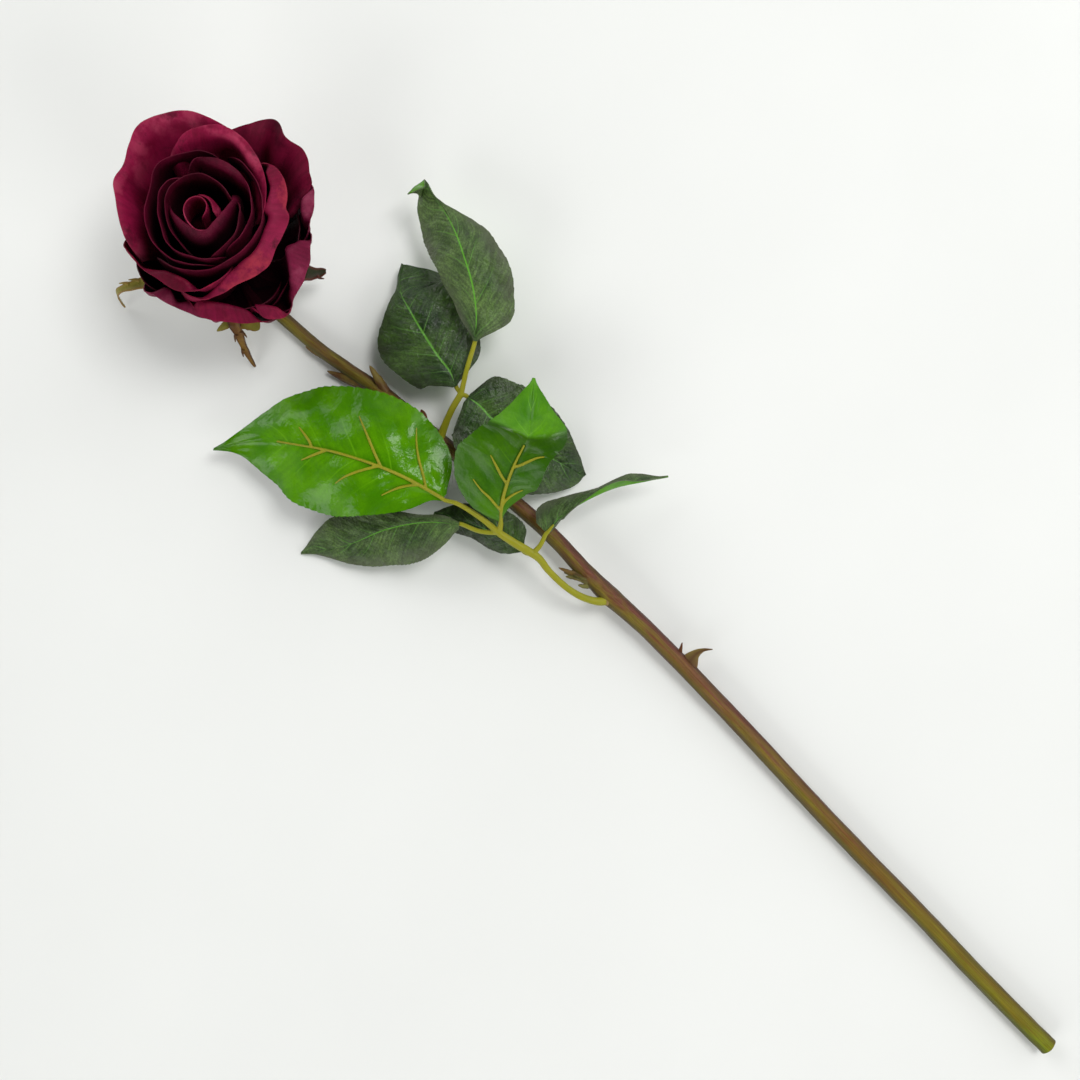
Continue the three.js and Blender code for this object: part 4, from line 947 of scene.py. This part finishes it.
# %% Skeletons
RIB = 0.7  # radius of a midrib's rib
RIB_LIFT, SIDE_RIB_LIFT = 0.75, 0.45  # how far a rib's middle line stands off the leaflet
VOXEL = 0.22
SIDE_RIBS = {  # where along the leaflet each starts and ends, and how far out it gets
    "d": [(0.13, 0.27, 0.76), (0.34, 0.47, 0.58), (0.61, 0.68, 0.3), (0.155, 0.28, -0.55),
          (0.345, 0.49, -0.48), (0.55, 0.65, -0.25)],
    "e": [(0.286, 0.44, -0.45), (0.15, 0.27, -0.62), (0.42, 0.6, 0.75), (0.17, 0.28, 0.7)],
}
LOWER_STALK = [
    (-36, -2, 8.4), (-34, 1.4, 10), (-28, 4.8, 12), (-21.5, 6.3, 13.6), (-15.3, 6.6, 15), (-9.8, 6.3, 16),
    (-5.1, 5.5, 17), (-1.7, 5.8, 17.5), (5.7, 7.5, 19), (13.4, 8.9, 20)]
UPPER_STALK = [(56, -1.2, 8.4), (58, -6.5, 11), (60.2, -13.5, 14), (61.5, -20.5, 16.6)]
LOWER_FORK, LOWER_END, UPPER_FORK = LOWER_STALK[7], LOWER_STALK[-1], UPPER_STALK[-1]
SPRAYS = {  # stalk, radii, steps, and ribs: leaflet, way to it, on top or not, reach, radius at the foot
    "lower": (LOWER_STALK, [2.1, 1.5, 1.35, 1.35, 1.5, 1.7, 1.45], 60, [
        ("d", [LOWER_END, (21.9, 9.4, 22.4), (32.8, 11.6, 24)], True, 0.76, 1.3),
        ("e", [LOWER_END], True, 0.61, 1.2), ("f", [LOWER_END, (19.6, 13.7, 19.2)], False, 0.34, 1),
        ("g", [LOWER_FORK, (-1.4, 1, 19.4)], True, 0.1, 1.1), ("h", [LOWER_FORK], False, 0.3, 1)]),
    "upper": (UPPER_STALK, [1.9, 1.35, 1.3], 30, [
        ("a", [UPPER_FORK, (66, -28.7, 19.4)], False, 0.34, 1.1),
        ("b", [UPPER_FORK], False, 0.3, 1), ("c", [UPPER_FORK], False, 0.3, 1)]),
}


def beside_leaf(leaf, u, v, above, lift):
    """A point on a leaflet's own surface, lifted off it towards its upper or lower face."""
    frames = leaf_frames(leaf, LEAF_ROWS)
    face = frames[round(v * LEAF_ROWS)][2]
    return leaf_place(leaf, frames, u, v) + face * (lift if above else -lift)


def rib_on_midrib(letter, joint, above, reach, foot):
    leaf = LEAFLETS[letter]
    stations = [0.02, reach / 3, 2 * reach / 3, reach]
    line = [beside_leaf(leaf, 0.5, v, above, RIB_LIFT) for v in stations]
    lead = line[0] - path_direction([Vector(p) for p in leaf["midrib"]], 0) * 1.6
    return tube("rib", [*joint, lead, *line], [foot, RIB * 1.25, RIB, RIB * 0.55], 12, 40)


def rib_aside(letter, start, end, out):
    leaf = LEAFLETS[letter]
    line = [
        beside_leaf(leaf, 0.5 + out / 2 * k, mix(start, end, k), True, SIDE_RIB_LIFT)
        for k in (0, 0.25, 0.5, 0.75, 1)]
    return tube("rib", line, [RIB * 0.85, RIB * 0.8, RIB * 0.4], 10, 24)


def fuse(name, parts):
    piece = join_as(name, parts)
    melt = piece.modifiers.new("melt", "REMESH")
    melt.mode = "VOXEL"
    melt.voxel_size = VOXEL * MM
    bpy.ops.object.modifier_apply(modifier=melt.name)
    soften = piece.modifiers.new("soften", "SMOOTH")
    soften.iterations = 4
    bpy.ops.object.modifier_apply(modifier=soften.name)
    bpy.ops.object.shade_smooth()
    return piece


for spray, (stalk, radii, steps, ribs) in SPRAYS.items():
    parts = [tube("stalk", stalk, radii, 16, steps)]
    parts += [rib_on_midrib(*rib) for rib in ribs]
    parts += [rib_aside(rib[0], *aside) for rib in ribs for aside in SIDE_RIBS.get(rib[0], [])]
    hand_over(fuse(spray + "_spray_skeleton", parts), spray + "_petiole", "stalk", YELLOW_GREEN)

# %% [markdown]
# ## Table and light
# The rose lies on a white table under soft daylight from the picture's upper right. A large area light
# there gives the faint shadows to the lower left. A smaller panel nearer the camera puts the satin
# highlights on the leaflets, and three side panels with a dim world soften the shadows. A bright world
# would do that too, but its reflection would lie over the dark leaflets as a haze.

# %% Table and light
TABLE_SIZE = 4.8
TABLE_GAP = 0.0002  # keeps it clear of what rests on it
AIM = Vector((0.08, 0, 0))  # every light points here

bpy.ops.object.select_all(action="DESELECT")
bpy.ops.mesh.primitive_plane_add(size=TABLE_SIZE, location=(0, 0, -TABLE_GAP))
table = bpy.context.object
table.name = "white_table"
white, shader = start_finish("white_table")
here = coordinates(shader)[0]
whites = ramp(cloud(here, 6, 3), (0.3, (0.775, 0.785, 0.758)), (0.7, (0.808, 0.818, 0.79)))
feed(shader.inputs["Base Color"], whites)
feed(shader.inputs["Roughness"], 0.75)
table.data.materials.append(white)


def soft_light(name, place, size, power):
    bpy.ops.object.light_add(type="AREA", location=place)
    light = bpy.context.object
    light.name = name
    light.data.size = size
    light.data.energy = power
    light.rotation_mode = "QUATERNION"
    light.rotation_quaternion = (AIM - Vector(place)).to_track_quat("-Z", "Y")


LIGHTS = {  # place and size in metres, power in watts
    "window": ((0.0, -2.4, 1.6), 2.2, 21),
    "ceiling_panel": ((-0.1, -0.95, 1.75), 0.75, 18),
    "wall_front": ((2.4, 0, 1.2), 1.6, 25),
    "wall_back": ((-2.4, 0, 1.2), 1.6, 25),
    "wall_far": ((0, 2.4, 1.2), 1.6, 25),
}
for name, (place, size, power) in LIGHTS.items():
    soft_light(name, place, size, power)

world = bpy.data.worlds.new("room")
world.use_nodes = True
room = world.node_tree
upward = add_node(room, "SeparateXYZ", {0: add_node(room, "TexCoord").outputs["Generated"]}).outputs[2]
sky = ramp(upward, (0.4, (0.6, 0.61, 0.62)), (0.62, 0.2), (0.78, 0.05))
feed(room.nodes["Background"].inputs["Color"], sky)
bpy.context.scene.world = world
bpy.context.scene.view_settings.view_transform = "Standard"

# %% [markdown]
# ## Finish
# The number of pieces made is printed.

# %% Finish
print(len(made), "pieces")
